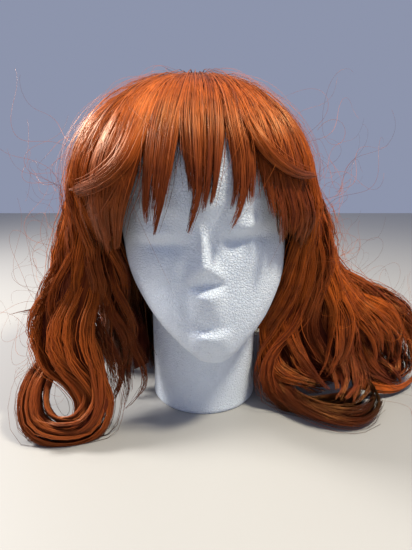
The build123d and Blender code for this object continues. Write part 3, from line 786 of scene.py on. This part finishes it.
def nape(first, last, foot, turn):
    """Back hair between two bearings that falls to the table and ends in a ring about foot."""
    edges = []
    for bearing, side in ((first, -1), (last, 1)):
        a = np.radians(bearing)
        out = np.array([np.sin(a), np.cos(a)])
        crown = HAIR_CENTRE[:2] + out * np.array([52, 54])
        wide = HAIR_CENTRE[:2] + out * np.array([104, 114])
        low = wide + out * np.array([2, 5])
        line = [(-8 + 6 * out[0], 26 + 6 * out[1], 296), (*crown, 278), (*(0.5 * (crown + wide) + out * 12), 250),
                (*wide, 205), (*low, 160), (*low, 110), (*(low + out * 3), 64)]
        ring = 17 if side * turn < 0 else 33
        for step, height in ((-60, 30), (0, 14), (70, 9), (140, 8), (205, 9), (260, 12)):
            b = np.radians(step) * turn
            line.append((foot[0] + turn * ring * np.cos(b), foot[1] + ring * np.sin(b),
                         height + (4 if ring > 20 else 0)))
        edges.append(line)
    return [Fan(edges[0], edges[1], 460, thick=(4, 12, 5), clumps=10, gather=0.4, core=0.94, steps=22,
                radius=0.45, wave=0.6, waves=3.0, tone=0.4)]


SECTIONS = {
    "fringe_veil": (fringe_veil, ()),
    "fringe_left_hair": (fringe_left, ("fringe_left",)),
    "fringe_centre_hair": (fringe_centre, ("fringe_centre",)),
    "fringe_right_hair": (fringe_right, ("fringe_right",)),
    "left_curtain_hair": (left_curtain, ("left_curtain",)),
    "right_curtain_hair": (right_curtain, ("right_curtain",)),
    "left_standing_lock": (left_side, ("left_side_lock", "left_front_curl")),
    "left_front_hair": (left_front, ("left_crown_hair",)),
    "left_inner_hair": (left_inner, ("left_inner_lock",)),
    "left_back_fall": (left_back, ("left_back_hair", "left_back_lock", "left_back_curl")),
    "right_front_lock": (right_side, ("right_side_lock", "right_front_curl")),
    "right_front_hair": (right_front, ("right_crown_hair",)),
    "right_waves": (right_waves, ()),
    "right_outer_hair": (right_outer, ("right_outer_curl",)),
    "right_back_fall": (right_back, ("right_back_hair", "right_back_lock", "right_back_curl")),
    "nape_left_fall": (lambda: nape(-48, -14, (-68, 132), 1), ("nape_lock_left", "nape_curl_left")),
    "nape_centre_fall": (lambda: nape(-16, 18, (4, 138), -1), ("nape_lock_centre", "nape_curl_centre")),
    "nape_right_fall": (lambda: nape(16, 52, (76, 134), 1), ("nape_lock_right", "nape_curl_right")),
}


def stray_fibres():
    """Single loose fibres: each leaves the hair's form and drifts off it in a shallow arc."""
    chance = np.random.default_rng(SEED + 99)
    count, steps = 330, 16
    bearing = chance.uniform(0.5, 2 * np.pi - 0.5, count)
    share = np.linspace(0, 1, steps)[None, :]
    start = chance.uniform(0.1, 1.1, count)
    length = chance.uniform(0.4, 1.4, count)
    swing = chance.normal(0, 0.4, count)
    polar = start[:, None] + length[:, None] * share
    turn = bearing[:, None] + swing[:, None] * share
    lift = 1.01 + chance.uniform(0.0, 0.08, count)[:, None] * np.sin(np.pi * share)
    sideways = np.sin(np.minimum(polar, np.pi / 2))
    half_x = np.where(np.sin(turn) < 0, HAIR_LEFT, HAIR_RIGHT)
    half_y = np.where(np.cos(turn) > 0, HAIR_FRONT, HAIR_BACK)
    drop = np.maximum(polar - np.pi / 2, 0) * 100
    lines = np.stack([
        HAIR_CENTRE[0] + lift * half_x * sideways * np.sin(turn),
        HAIR_CENTRE[1] - lift * half_y * sideways * np.cos(turn),
        HAIR_CENTRE[2] + lift * HAIR_UP * np.cos(np.minimum(polar, np.pi / 2)) - drop,
    ], -1)
    lines = clear_of_head(lines)
    radius = np.full((count, steps), 0.12) * (1 - 0.6 * share)
    corners, quads, triangles, normals = fibre_tubes(lines, unit(lines - HAIR_CENTRE), radius)
    tone = np.repeat(chance.uniform(0.3, 1, count), steps * 3)
    along = np.repeat(np.broadcast_to(share, (count, steps)).ravel(), 3)
    values = {"tone": tone, "along": along, "depth": np.zeros(len(tone))}
    return make_mesh("stray_fibres", corners, quads, triangles, values, normals)


SIDE_HEIGHTS = (0, 50, 100, 150, 200, 250)
SIDE_LEFT, SIDE_RIGHT = (148, 152, 140, 122, 119, 92), (205, 200, 128, 108, 106, 88)


def flyaways():
    """Long single fibres that stand off the sides in loose curls.

    Each starts on the side of the hair and is a path whose heading turns at a steady rate that
    swells and falls along it. Its reach outward is eased so that it stays near the hair.
    """
    chance = np.random.default_rng(SEED + 77)
    count, steps = 190, 30
    side = np.where(chance.random(count) < 0.5, -1, 1)[:, None]
    height = chance.uniform(12, 245, count)[:, None]
    width = np.where(side < 0, np.interp(height, SIDE_HEIGHTS, SIDE_LEFT), np.interp(height, SIDE_HEIGHTS, SIDE_RIGHT))
    depth = chance.uniform(-62, 20, count)[:, None]
    length = chance.uniform(45, 150, count)[:, None]
    share = np.linspace(0, 1, steps)[None, :]
    rate = chance.normal(0, 1, count)[:, None] / 26
    first = chance.uniform(-1.3, 1.3, count)[:, None]
    swell = chance.uniform(0, 2 * np.pi, count)[:, None]
    turn = first + rate * length * share + 0.7 * np.sin(2 * np.pi * 1.3 * share + swell)
    step = length / steps
    outward = np.cumsum(np.cos(turn), axis=1) * step - 6
    upward = np.cumsum(np.sin(turn), axis=1) * step
    room = np.where(side < 0, 180 - width, 246 - width)
    room = np.minimum(room, 52)
    x = side * (width + room * np.tanh(outward / room))
    y = depth + 14 * np.sin(2 * np.pi * share * 0.8 + swell) + 10 * share
    z = np.maximum(height + upward, 0.5)
    z = np.where(z > 285, 285 + 20 * np.tanh((z - 285) / 20), z)
    lines = clear_of_head(np.stack([x, y, z], -1))
    radius = np.full((count, steps), 0.10) * (1 - 0.5 * share)
    facing = unit(np.array([0.2, -1.0, 0.5])) * np.ones((count, steps, 1))
    corners, quads, triangles, normals = fibre_tubes(lines, facing, radius)
    tone = np.repeat(chance.uniform(0.3, 1, count), steps * 3)
    along = np.repeat(np.broadcast_to(share, (count, steps)).ravel(), 3)
    values = {"tone": tone, "along": along, "depth": np.zeros(len(tone))}
    return make_mesh("flyaway_fibres", corners, quads, triangles, values, normals)


def crown_whorl():
    """Short fibres that cover the crown: each runs out from the whorl's centre along the form.

    Roots lie at random places about the centre; a fibre's bearing is its root's, turned a
    little as it runs, and its height is that of the hair's form over its place.
    """
    chance = np.random.default_rng(SEED + 55)
    count, steps = 1150, 9
    centre = np.array([-6.0, 16.0])
    bearing = chance.uniform(0, 2 * np.pi, count)[:, None]
    root = 16 * np.sqrt(chance.random(count))[:, None]
    length = chance.uniform(34, 62, count)[:, None]
    share = np.linspace(0, 1, steps)[None, :]
    out = root + length * share
    turn = bearing + 0.25 * share + 0.04 * chance.normal(size=(count, 1))
    x = centre[0] + out * np.sin(turn)
    y = centre[1] + out * np.cos(turn) * 1.05
    half_x = np.where(x < HAIR_CENTRE[0], HAIR_LEFT, HAIR_RIGHT)
    half_y = np.where(y < HAIR_CENTRE[1], HAIR_FRONT, HAIR_BACK)
    level = ((x - HAIR_CENTRE[0]) / half_x) ** 2 + ((y - HAIR_CENTRE[1]) / half_y) ** 2
    layer = chance.uniform(0.955, 0.993, count)[:, None] - 0.03 * (share - 0.3) ** 2
    z = HAIR_CENTRE[2] + HAIR_UP * np.sqrt(np.maximum(layer**2 - level, 0.01))
    lines = np.stack([x, y, z], -1)
    radius = 0.34 * np.sqrt(1 - 0.7 * share) * chance.uniform(0.7, 1.2, (count, 1))
    corners, quads, triangles, normals = fibre_tubes(lines, unit(lines - HAIR_CENTRE), radius)
    tone = np.repeat(np.clip(0.3 + 0.15 * chance.normal(size=count), 0, 1), steps * 3)
    along = np.repeat(np.broadcast_to(0.02 + 0.17 * share, (count, steps)).ravel(), 3)
    values = {"tone": tone, "along": along, "depth": np.full(len(tone), 0.1)}
    return make_mesh("crown_whorl", corners, quads, triangles, values, normals)


# ------------------------------------------------------------------ shader groups
def new_group(name, inputs, outputs):
    """A shader node group with named inputs (name, kind, default) and outputs (name, kind)."""
    group = bpy.data.node_groups.new(name, "ShaderNodeTree")
    kinds = {"value": "NodeSocketFloat", "color": "NodeSocketColor", "vector": "NodeSocketVector"}
    for label, kind, default in inputs:
        socket = group.interface.new_socket(label, in_out="INPUT", socket_type=kinds[kind])
        socket.default_value = default
    for label, kind in outputs:
        group.interface.new_socket(label, in_out="OUTPUT", socket_type=kinds[kind])
    return group, group.nodes.new("NodeGroupInput"), group.nodes.new("NodeGroupOutput")


def node(tree, kind, **settings):
    """A node of that kind; a setting is a property of it or, if it has none, an input's value."""
    made = tree.nodes.new("ShaderNode" + kind)
    for key, value in settings.items():
        if hasattr(made, key):
            setattr(made, key, value)
        else:
            made.inputs[key.replace("_", " ")].default_value = value
    return made


def maths(tree, operation, first, second, clamp=False):
    """A Math node; first and second are sockets or numbers."""
    made = node(tree, "Math", operation=operation, use_clamp=clamp)
    for socket, value in zip(made.inputs, (first, second)):
        if isinstance(value, (int, float)):
            socket.default_value = value
        else:
            tree.links.new(value, socket)
    return made.outputs[0]


def mixed(tree, share, first, second, blend="MIX"):
    """A colour Mix node; share, first and second are sockets or values."""
    made = node(tree, "Mix", data_type="RGBA", blend_type=blend)
    for socket, value in zip((made.inputs[0], made.inputs[6], made.inputs[7]), (share, first, second)):
        if isinstance(value, (int, float, tuple)):
            socket.default_value = value
        else:
            tree.links.new(value, socket)
    return made.outputs[2]


def bead_group():
    """Bead grain of expanded foam: rounded cells with sunk joints, and pits where beads fell out."""
    group, inputs, outputs = new_group(
        "Bead grain", [("Cells", "value", 420.0), ("Pits", "value", 0.3)],
        [("Height", "value"), ("Pit mask", "value")])
    place_of = node(group, "TexCoord")
    cells = node(group, "TexVoronoi", feature="DISTANCE_TO_EDGE")
    points = node(group, "TexVoronoi", feature="F1")
    patches = node(group, "TexNoise", Scale=60.0, Detail=2.0)
    for texture in (cells, points, patches):
        group.links.new(place_of.outputs["Object"], texture.inputs["Vector"])
    group.links.new(inputs.outputs["Cells"], cells.inputs["Scale"])
    group.links.new(inputs.outputs["Cells"], points.inputs["Scale"])
    joint = maths(group, "MULTIPLY", cells.outputs["Distance"], 5.0, clamp=True)
    chosen = maths(group, "GREATER_THAN", points.outputs["Color"], maths(group, "SUBTRACT", 1.0, inputs.outputs["Pits"]))
    near = maths(group, "LESS_THAN", points.outputs["Distance"], 0.30)
    patch = maths(group, "GREATER_THAN", patches.outputs["Fac"], 0.46)
    pit = maths(group, "MULTIPLY", maths(group, "MULTIPLY", chosen, near), patch)
    height = maths(group, "SUBTRACT", joint, pit)
    group.links.new(height, outputs.inputs["Height"])
    group.links.new(pit, outputs.inputs["Pit mask"])
    return group


def fibre_group():
    """Colour of hair fibres from their tone, share of length and depth in the lock: darker near the roots, with
    painted shade deeper in the lock, and towards the ends a darker colour that is partly painted shade.
    """
    group, inputs, outputs = new_group(
        "Fibre colour",
        [("Dark", "color", (0.05, 0.01, 0.004, 1)), ("Middle", "color", (0.45, 0.12, 0.02, 1)),
         ("Light", "color", (0.85, 0.33, 0.06, 1)), ("Ends", "color", (0.1, 0.02, 0.01, 1)),
         ("Ends share", "value", 0.6), ("Depth shade", "value", 1.0)],
        [("Color", "color"), ("Roughness", "value")])
    tone = node(group, "Attribute", attribute_name="tone")
    along = node(group, "Attribute", attribute_name="along")
    depth = node(group, "Attribute", attribute_name="depth")
    place_of = node(group, "TexCoord")
    mottle = node(group, "TexNoise", Scale=90.0, Detail=2.0)
    group.links.new(place_of.outputs["Object"], mottle.inputs["Vector"])
    patches = maths(group, "MULTIPLY", maths(group, "SUBTRACT", mottle.outputs["Fac"], 0.5), 0.9)
    streak = node(group, "Attribute", attribute_name="streak")
    stretched = node(group, "CombineXYZ")
    group.links.new(maths(group, "MULTIPLY", streak.outputs["Fac"], 70.0), stretched.inputs["X"])
    group.links.new(maths(group, "MULTIPLY", along.outputs["Fac"], 5.0), stretched.inputs["Y"])
    fine = node(group, "TexNoise", Scale=1.0, Detail=2.0)
    group.links.new(stretched.outputs["Vector"], fine.inputs["Vector"])
    fine_streaks = maths(group, "MULTIPLY", maths(group, "SUBTRACT", fine.outputs["Fac"], 0.5), 1.6)
    patches = maths(group, "ADD", patches, fine_streaks)
    varied = maths(group, "ADD", tone.outputs["Fac"], patches, clamp=True)
    colour = mixed(group, varied, inputs.outputs["Middle"], inputs.outputs["Light"])
    # Towards their ends the fibres turn to the Ends colour: partly the wig's own darker, redder ends and partly
    # painted shade for the dimmer light on the lower hair.
    ends_tone_and_shade = maths(group, "MULTIPLY", maths(group, "SUBTRACT", along.outputs["Fac"], 0.42), 2.8, clamp=True)
    colour = mixed(
        group, maths(group, "MULTIPLY", ends_tone_and_shade, inputs.outputs["Ends share"]), colour, inputs.outputs["Ends"])
    root = maths(group, "MULTIPLY", maths(group, "SUBTRACT", 0.30, along.outputs["Fac"], clamp=True), 2.8, clamp=True)
    # Painted shade: the deeper a fibre lies in its lock, the more it turns to Dark.
    deep = maths(group, "POWER", depth.outputs["Fac"], 1.9)
    shade = maths(group, "MULTIPLY", deep, inputs.outputs["Depth shade"])
    root_dark_and_depth_shade = maths(group, "MAXIMUM", root, shade, clamp=True)
    colour = mixed(group, root_dark_and_depth_shade, colour, inputs.outputs["Dark"])
    roughness = maths(group, "ADD", 0.32, maths(group, "MULTIPLY", varied, 0.12))
    group.links.new(colour, outputs.inputs["Color"])
    group.links.new(roughness, outputs.inputs["Roughness"])
    return group


def weave_group():
    """Woven tape or braid: two crossed waves for the threads, painted shade in the hollows between them and a little
    dirt in the colour.
    """
    group, inputs, outputs = new_group(
        "Woven tape", [("Threads", "value", 900.0), ("Color", "color", (0.3, 0.14, 0.08, 1))],
        [("Color", "color"), ("Height", "value")])
    place_of = node(group, "TexCoord")
    waves = []
    for direction in ("DIAGONAL", "Z"):
        wave = node(group, "TexWave", bands_direction=direction, Distortion=0.6)
        group.links.new(place_of.outputs["Object"], wave.inputs["Vector"])
        group.links.new(inputs.outputs["Threads"], wave.inputs["Scale"])
        waves.append(wave.outputs["Fac"])
    height = maths(group, "MULTIPLY", waves[0], waves[1])
    dirt = node(group, "TexNoise", Scale=120.0, Detail=3.0)
    group.links.new(place_of.outputs["Object"], dirt.inputs["Vector"])
    # Painted shade: lower between the threads, the tape turns towards near black; the dirt noise varies it at random.
    shade = maths(group, "ADD", 0.55, maths(group, "MULTIPLY", height, 0.5))
    shade = maths(group, "MULTIPLY", shade, maths(group, "ADD", 0.7, maths(group, "MULTIPLY", dirt.outputs["Fac"], 0.5)))
    colour = mixed(group, 1.0, inputs.outputs["Color"], (1, 1, 1, 1), "MULTIPLY")
    shaded = mixed(group, maths(group, "SUBTRACT", 1.0, shade, clamp=True), colour, (0.01, 0.005, 0.004, 1))
    group.links.new(shaded, outputs.inputs["Color"])
    group.links.new(height, outputs.inputs["Height"])
    return group


def net_group():
    """Knitted net: rounded threads along the joints of small cells, with open holes."""
    group, inputs, outputs = new_group(
        "Open net", [("Cells", "value", 600.0), ("Thread", "value", 0.16)],
        [("Mask", "value"), ("Height", "value")])
    place_of = node(group, "TexCoord")
    cells = node(group, "TexVoronoi", feature="DISTANCE_TO_EDGE", Randomness=0.35)
    group.links.new(place_of.outputs["Object"], cells.inputs["Vector"])
    group.links.new(inputs.outputs["Cells"], cells.inputs["Scale"])
    mask = maths(group, "LESS_THAN", cells.outputs["Distance"], inputs.outputs["Thread"])
    across = maths(group, "DIVIDE", cells.outputs["Distance"], inputs.outputs["Thread"])
    height = maths(group, "SUBTRACT", 1.0, across, clamp=True)
    group.links.new(mask, outputs.inputs["Mask"])
    group.links.new(height, outputs.inputs["Height"])
    return group


GROUPS = {}


def group_node(tree, name):
    """A node that holds the named group."""
    made = tree.nodes.new("ShaderNodeGroup")
    made.node_tree = GROUPS[name]
    return made


def new_material(name, **sockets):
    """A material with only a Principled BSDF; returns it with its tree and the shader."""
    material = bpy.data.materials.new(name)
    material.use_nodes = True
    tree = material.node_tree
    shader = tree.nodes["Principled BSDF"]
    for key, value in sockets.items():
        shader.inputs[key.replace("_", " ")].default_value = value
    return material, tree, shader


def bump(tree, shader, height, strength, distance):
    """A Bump node from a height socket into the shader's normal."""
    made = node(tree, "Bump", Strength=strength, Distance=distance)
    tree.links.new(height, made.inputs["Height"])
    tree.links.new(made.outputs["Normal"], shader.inputs["Normal"])


def foam_material():
    settings = bpy.context.scene.training_head
    material, tree, shader = new_material(
        "bead_foam", IOR=1.35, Subsurface_Weight=0.18, Subsurface_Radius=(1.0, 0.9, 0.8), Subsurface_Scale=0.003)
    grain = group_node(tree, "Bead grain")
    grain.inputs["Cells"].default_value = 1 / settings.bead_size
    grain.inputs["Pits"].default_value = 0.30
    # Painted shade in the pits: where the pit mask is set, the foam's colour turns by 0.3 towards a blue grey.
    shaded = maths(tree, "MULTIPLY", grain.outputs["Pit mask"], 0.3)
    colour = mixed(tree, shaded, tuple(settings.foam_colour), (0.42, 0.47, 0.58, 1))
    tree.links.new(colour, shader.inputs["Base Color"])
    rough = maths(tree, "ADD", 0.46, maths(tree, "MULTIPLY", grain.outputs["Height"], 0.1))
    tree.links.new(rough, shader.inputs["Roughness"])
    bump(tree, shader, grain.outputs["Height"], 0.8, 0.0007)
    return material


def fibre_colours(tree, shader):
    """Links the fibre group, with the colours from the settings, into a shader."""
    settings = bpy.context.scene.training_head
    fibre = group_node(tree, "Fibre colour")
    fibre.inputs["Dark"].default_value = settings.hair_dark
    fibre.inputs["Middle"].default_value = settings.hair_middle
    fibre.inputs["Light"].default_value = settings.hair_light
    fibre.inputs["Ends"].default_value = settings.hair_ends_and_shade
    tree.links.new(fibre.outputs["Color"], shader.inputs["Base Color"])
    return fibre


def fibre_material():
    material, tree, shader = new_material(
        "copper_fibre", IOR=1.5, Specular_IOR_Level=0.6, Specular_Tint=(1.0, 0.42, 0.11, 1),
        Sheen_Weight=0.18, Sheen_Roughness=0.4, Sheen_Tint=(1.0, 0.42, 0.15, 1))
    fibre = fibre_colours(tree, shader)
    tree.links.new(fibre.outputs["Roughness"], shader.inputs["Roughness"])
    return material


def core_material():
    """Hair seen between the fibres: the same colours, painted dark as the shade deep in a lock, and without shine."""
    material, tree, shader = new_material("deep_fibre", Roughness=0.9, Specular_IOR_Level=0.1)
    fibre_colours(tree, shader)
    return material


def tape_material(name, colour, threads):
    material, tree, shader = new_material(name, Roughness=0.85)
    weave = group_node(tree, "Woven tape")
    weave.inputs["Threads"].default_value = threads
    weave.inputs["Color"].default_value = colour
    tree.links.new(weave.outputs["Color"], shader.inputs["Base Color"])
    bump(tree, shader, weave.outputs["Height"], 0.6, 0.0003)
    return material


def net_material():
    material, tree, shader = new_material("stretch_net", Roughness=0.8)
    net = group_node(tree, "Open net")
    # Painted shade on the rounded threads: lighter along each thread's middle, darker towards its sides.
    colour = mixed(tree, net.outputs["Height"], (0.05, 0.02, 0.015, 1), (0.14, 0.06, 0.04, 1))
    tree.links.new(colour, shader.inputs["Base Color"])
    tree.links.new(net.outputs["Mask"], shader.inputs["Alpha"])
    bump(tree, shader, net.outputs["Height"], 0.6, 0.0003)
    return material


def steel_material():
    material, tree, shader = new_material("stay_steel", Metallic=1.0)
    place_of = node(tree, "TexCoord")
    grain = node(tree, "TexNoise", Scale=900.0, Detail=4.0)
    tree.links.new(place_of.outputs["Object"], grain.inputs["Vector"])
    colour = mixed(tree, grain.outputs["Fac"], (0.45, 0.45, 0.47, 1), (0.7, 0.7, 0.72, 1))
    tree.links.new(colour, shader.inputs["Base Color"])
    rough = maths(tree, "ADD", 0.25, maths(tree, "MULTIPLY", grain.outputs["Fac"], 0.2))
    tree.links.new(rough, shader.inputs["Roughness"])
    return material


def hook_material():
    material, tree, shader = new_material("hook_plastic", IOR=1.46)
    place_of = node(tree, "TexCoord")
    wear = node(tree, "TexNoise", Scale=700.0, Detail=3.0)
    tree.links.new(place_of.outputs["Object"], wear.inputs["Vector"])
    colour = mixed(tree, wear.outputs["Fac"], (0.02, 0.018, 0.018, 1), (0.06, 0.05, 0.05, 1))
    tree.links.new(colour, shader.inputs["Base Color"])
    rough = maths(tree, "ADD", 0.25, maths(tree, "MULTIPLY", wear.outputs["Fac"], 0.25))
    tree.links.new(rough, shader.inputs["Roughness"])
    return material


def stage_material():
    material, tree, shader = new_material("pale_floor", Roughness=0.55)
    place_of = node(tree, "TexCoord")
    cloud = node(tree, "TexNoise", Scale=1.5, Detail=2.0)
    tree.links.new(place_of.outputs["Object"], cloud.inputs["Vector"])
    colour = mixed(tree, cloud.outputs["Fac"], (0.36, 0.355, 0.35, 1), (0.42, 0.41, 0.39, 1))
    tree.links.new(colour, shader.inputs["Base Color"])
    return material


# ------------------------------------------------------------------ settings
class TrainingHeadSettings(bpy.types.PropertyGroup):
    """Sizes and colours of the training head that a user would change."""
    neck_radius: bpy.props.FloatProperty(
        name="Neck radius", description="Radius of the foam neck", default=50 * MM, unit="LENGTH")
    bead_size: bpy.props.FloatProperty(
        name="Bead size", description="Width of one bead of the foam", default=2.3 * MM, unit="LENGTH")
    foam_colour: bpy.props.FloatVectorProperty(
        name="Foam colour", description="Colour of the foam", subtype="COLOR", size=4,
        min=0, max=1, default=(0.80, 0.87, 0.98, 1))
    # Deep hair is also the colour of the painted shade deep in a lock.
    hair_dark: bpy.props.FloatVectorProperty(
        name="Deep hair", description="Colour at the roots and deep in a lock", subtype="COLOR", size=4,
        min=0, max=1, default=(0.030, 0.005, 0.003, 1))
    hair_middle: bpy.props.FloatVectorProperty(
        name="Hair", description="Main colour of the fibres", subtype="COLOR", size=4,
        min=0, max=1, default=(0.140, 0.019, 0.005, 1))
    hair_light: bpy.props.FloatVectorProperty(
        name="Light hair", description="Colour of the lightest fibres", subtype="COLOR", size=4,
        min=0, max=1, default=(0.58, 0.118, 0.015, 1))
    # Hair ends is partly the wig's own colour and partly painted shade on the lower hair.
    hair_ends_and_shade: bpy.props.FloatVectorProperty(
        name="Hair ends", description="Colour that fibres turn to towards their ends", subtype="COLOR", size=4,
        min=0, max=1, default=(0.090, 0.018, 0.015, 1))
    key_power: bpy.props.FloatProperty(
        name="Key light", description="Power of the main soft light", default=7.0, subtype="POWER")


# ------------------------------------------------------------------ operators
class TRAININGHEAD_OT_groups(bpy.types.Operator):
    """Make the shader node groups that several materials share"""
    bl_idname = "training_head.groups"
    bl_label = "Shader groups"

    def execute(self, context):
        GROUPS["Bead grain"] = bead_group()
        GROUPS["Fibre colour"] = fibre_group()
        GROUPS["Woven tape"] = weave_group()
        GROUPS["Open net"] = net_group()
        return {"FINISHED"}


class TRAININGHEAD_OT_foam_head(bpy.types.Operator):
    """Make the foam head and neck"""
    bl_idname = "training_head.foam_head"
    bl_label = "Foam head"

    def execute(self, context):
        HEAD["radius"] = head_radius_table()
        place(foam_head_piece(), "stand_head", "foam", [foam_material()], ["foam_head"])
        return {"FINISHED"}


class TRAININGHEAD_OT_cap(bpy.types.Operator):
    """Finish the wig cap: net, bands, tabs, stays, wefts and adjusters"""
    bl_idname = "training_head.cap"
    bl_label = "Wig cap"

    def execute(self, context):
        band = tape_material("band_tape", (0.20, 0.085, 0.05, 1), 260.0)
        finishes = {
            "skin_top": tape_material("crown_lace", (0.55, 0.36, 0.26, 1), 520.0),
            "band": band,
            "weft": tape_material("weft_stitching", (0.25, 0.07, 0.03, 1), 330.0),
            "elastic": tape_material("braided_elastic", (0.05, 0.04, 0.04, 1), 600.0),
            "stay": steel_material(),
            "hook": hook_material(),
        }
        for part in frame["record"]["subparts"]:
            if part["material_slot"] in finishes:
                materials = frame["nodes"][part["node"]].data.materials
                materials.clear()
                materials.append(finishes[part["material_slot"]])
        net = place(cap_net_piece(), "wig", "net", [net_material()], ["cap_net"])
        return {"FINISHED"}


class TRAININGHEAD_OT_hair(bpy.types.Operator):
    """Make every section of hair as fibres over a core that is painted darker as shade"""
    bl_idname = "training_head.hair"
    bl_label = "Hair"

    def execute(self, context):
        fibre, core = fibre_material(), core_material()
        for number, (name, (fans, nodes)) in enumerate(SECTIONS.items()):
            place(hair_piece(name, fans(), number), "wig", "hair", [fibre, core], nodes)
        for single_fibres in (stray_fibres(), flyaways(), crown_whorl()):
            place(single_fibres, "wig", "hair", [fibre])
        return {"FINISHED"}


class TRAININGHEAD_OT_stage(bpy.types.Operator):
    """Make the floor, the lights and the camera"""
    bl_idname = "training_head.stage"
    bl_label = "Stage"

    def execute(self, context):
        scene = context.scene
        span, far_edge = 4000, 1500
        corners = [(-span, -span, 0), (span, -span, 0), (span, far_edge, 0), (-span, far_edge, 0)]
        floor = make_mesh("floor", corners, [(0, 1, 2, 3)])
        floor.data.materials.append(stage_material())
        power = scene.training_head.key_power
        lights = [
            ("key", (0.44, -0.24, 1.00), (0.0, -0.02, 0.16), 0.14, power * 1.65, (1.0, 0.93, 0.76)),
            ("ceiling", (0.06, -0.08, 1.15), (0.0, 0.0, 0.2), 0.26, power * 0.34, (1.0, 0.90, 0.72)),
            ("window", (-0.82, 0.15, 0.78), (-0.10, 0.0, 0.22), 0.24, power * 2.5, (1.0, 0.96, 0.90)),
        ]
        for name, spot, aim, size, watts, colour in lights:
            data = bpy.data.lights.new(name, "AREA")
            data.size, data.energy, data.color = size, watts, colour
            light = bpy.data.objects.new(name, data)
            scene.collection.objects.link(light)
            towards = np.array(aim) - np.array(spot)
            light.location = spot
            light.rotation_mode = "QUATERNION"
            light.rotation_quaternion = look_along(towards)
        world = bpy.data.worlds.new("studio")
        world.use_nodes = True
        background = world.node_tree.nodes["Background"]
        background.inputs["Color"].default_value = (0.58, 0.65, 0.90, 1)
        background.inputs["Strength"].default_value = 0.46
        scene.world = world
        camera_data = bpy.data.cameras.new("camera")
        camera_data.lens, camera_data.sensor_width = 27.03, 36
        camera = bpy.data.objects.new("camera", camera_data)
        scene.collection.objects.link(camera)
        camera.location = (0.002, -0.383, 0.224)
        pitch, roll = np.radians(90 - 15.3), np.radians(0.0)
        camera.rotation_euler = (pitch, roll, 0)
        scene.camera = camera
        scene.view_settings.view_transform = "Standard"
        return {"FINISHED"}


def look_along(towards):
    """Rotation that points an object's -Z along a direction."""
    from mathutils import Vector
    return Vector(towards).to_track_quat("-Z", "Y")


STEPS = (
    TRAININGHEAD_OT_groups,
    TRAININGHEAD_OT_foam_head,
    TRAININGHEAD_OT_cap,
    TRAININGHEAD_OT_hair,
    TRAININGHEAD_OT_stage,
)


class TRAININGHEAD_PT_panel(bpy.types.Panel):
    """Settings and steps of the training head"""
    bl_label = "Training head"
    bl_idname = "TRAININGHEAD_PT_panel"
    bl_space_type = "VIEW_3D"
    bl_region_type = "UI"
    bl_category = "Training head"

    def draw(self, context):
        for key in TrainingHeadSettings.__annotations__:
            self.layout.prop(context.scene.training_head, key)
        for step in STEPS:
            self.layout.operator(step.bl_idname)


CLASSES = (TrainingHeadSettings, *STEPS, TRAININGHEAD_PT_panel)


def register():
    for cls in CLASSES:
        bpy.utils.register_class(cls)
    bpy.types.Scene.training_head = bpy.props.PointerProperty(type=TrainingHeadSettings)


def unregister():
    del bpy.types.Scene.training_head
    for cls in reversed(CLASSES):
        bpy.utils.unregister_class(cls)


def main():
    register()
    for step in STEPS:
        category, name = step.bl_idname.split(".")
        getattr(getattr(bpy.ops, category), name)()


if __name__ == "__main__":
    main()
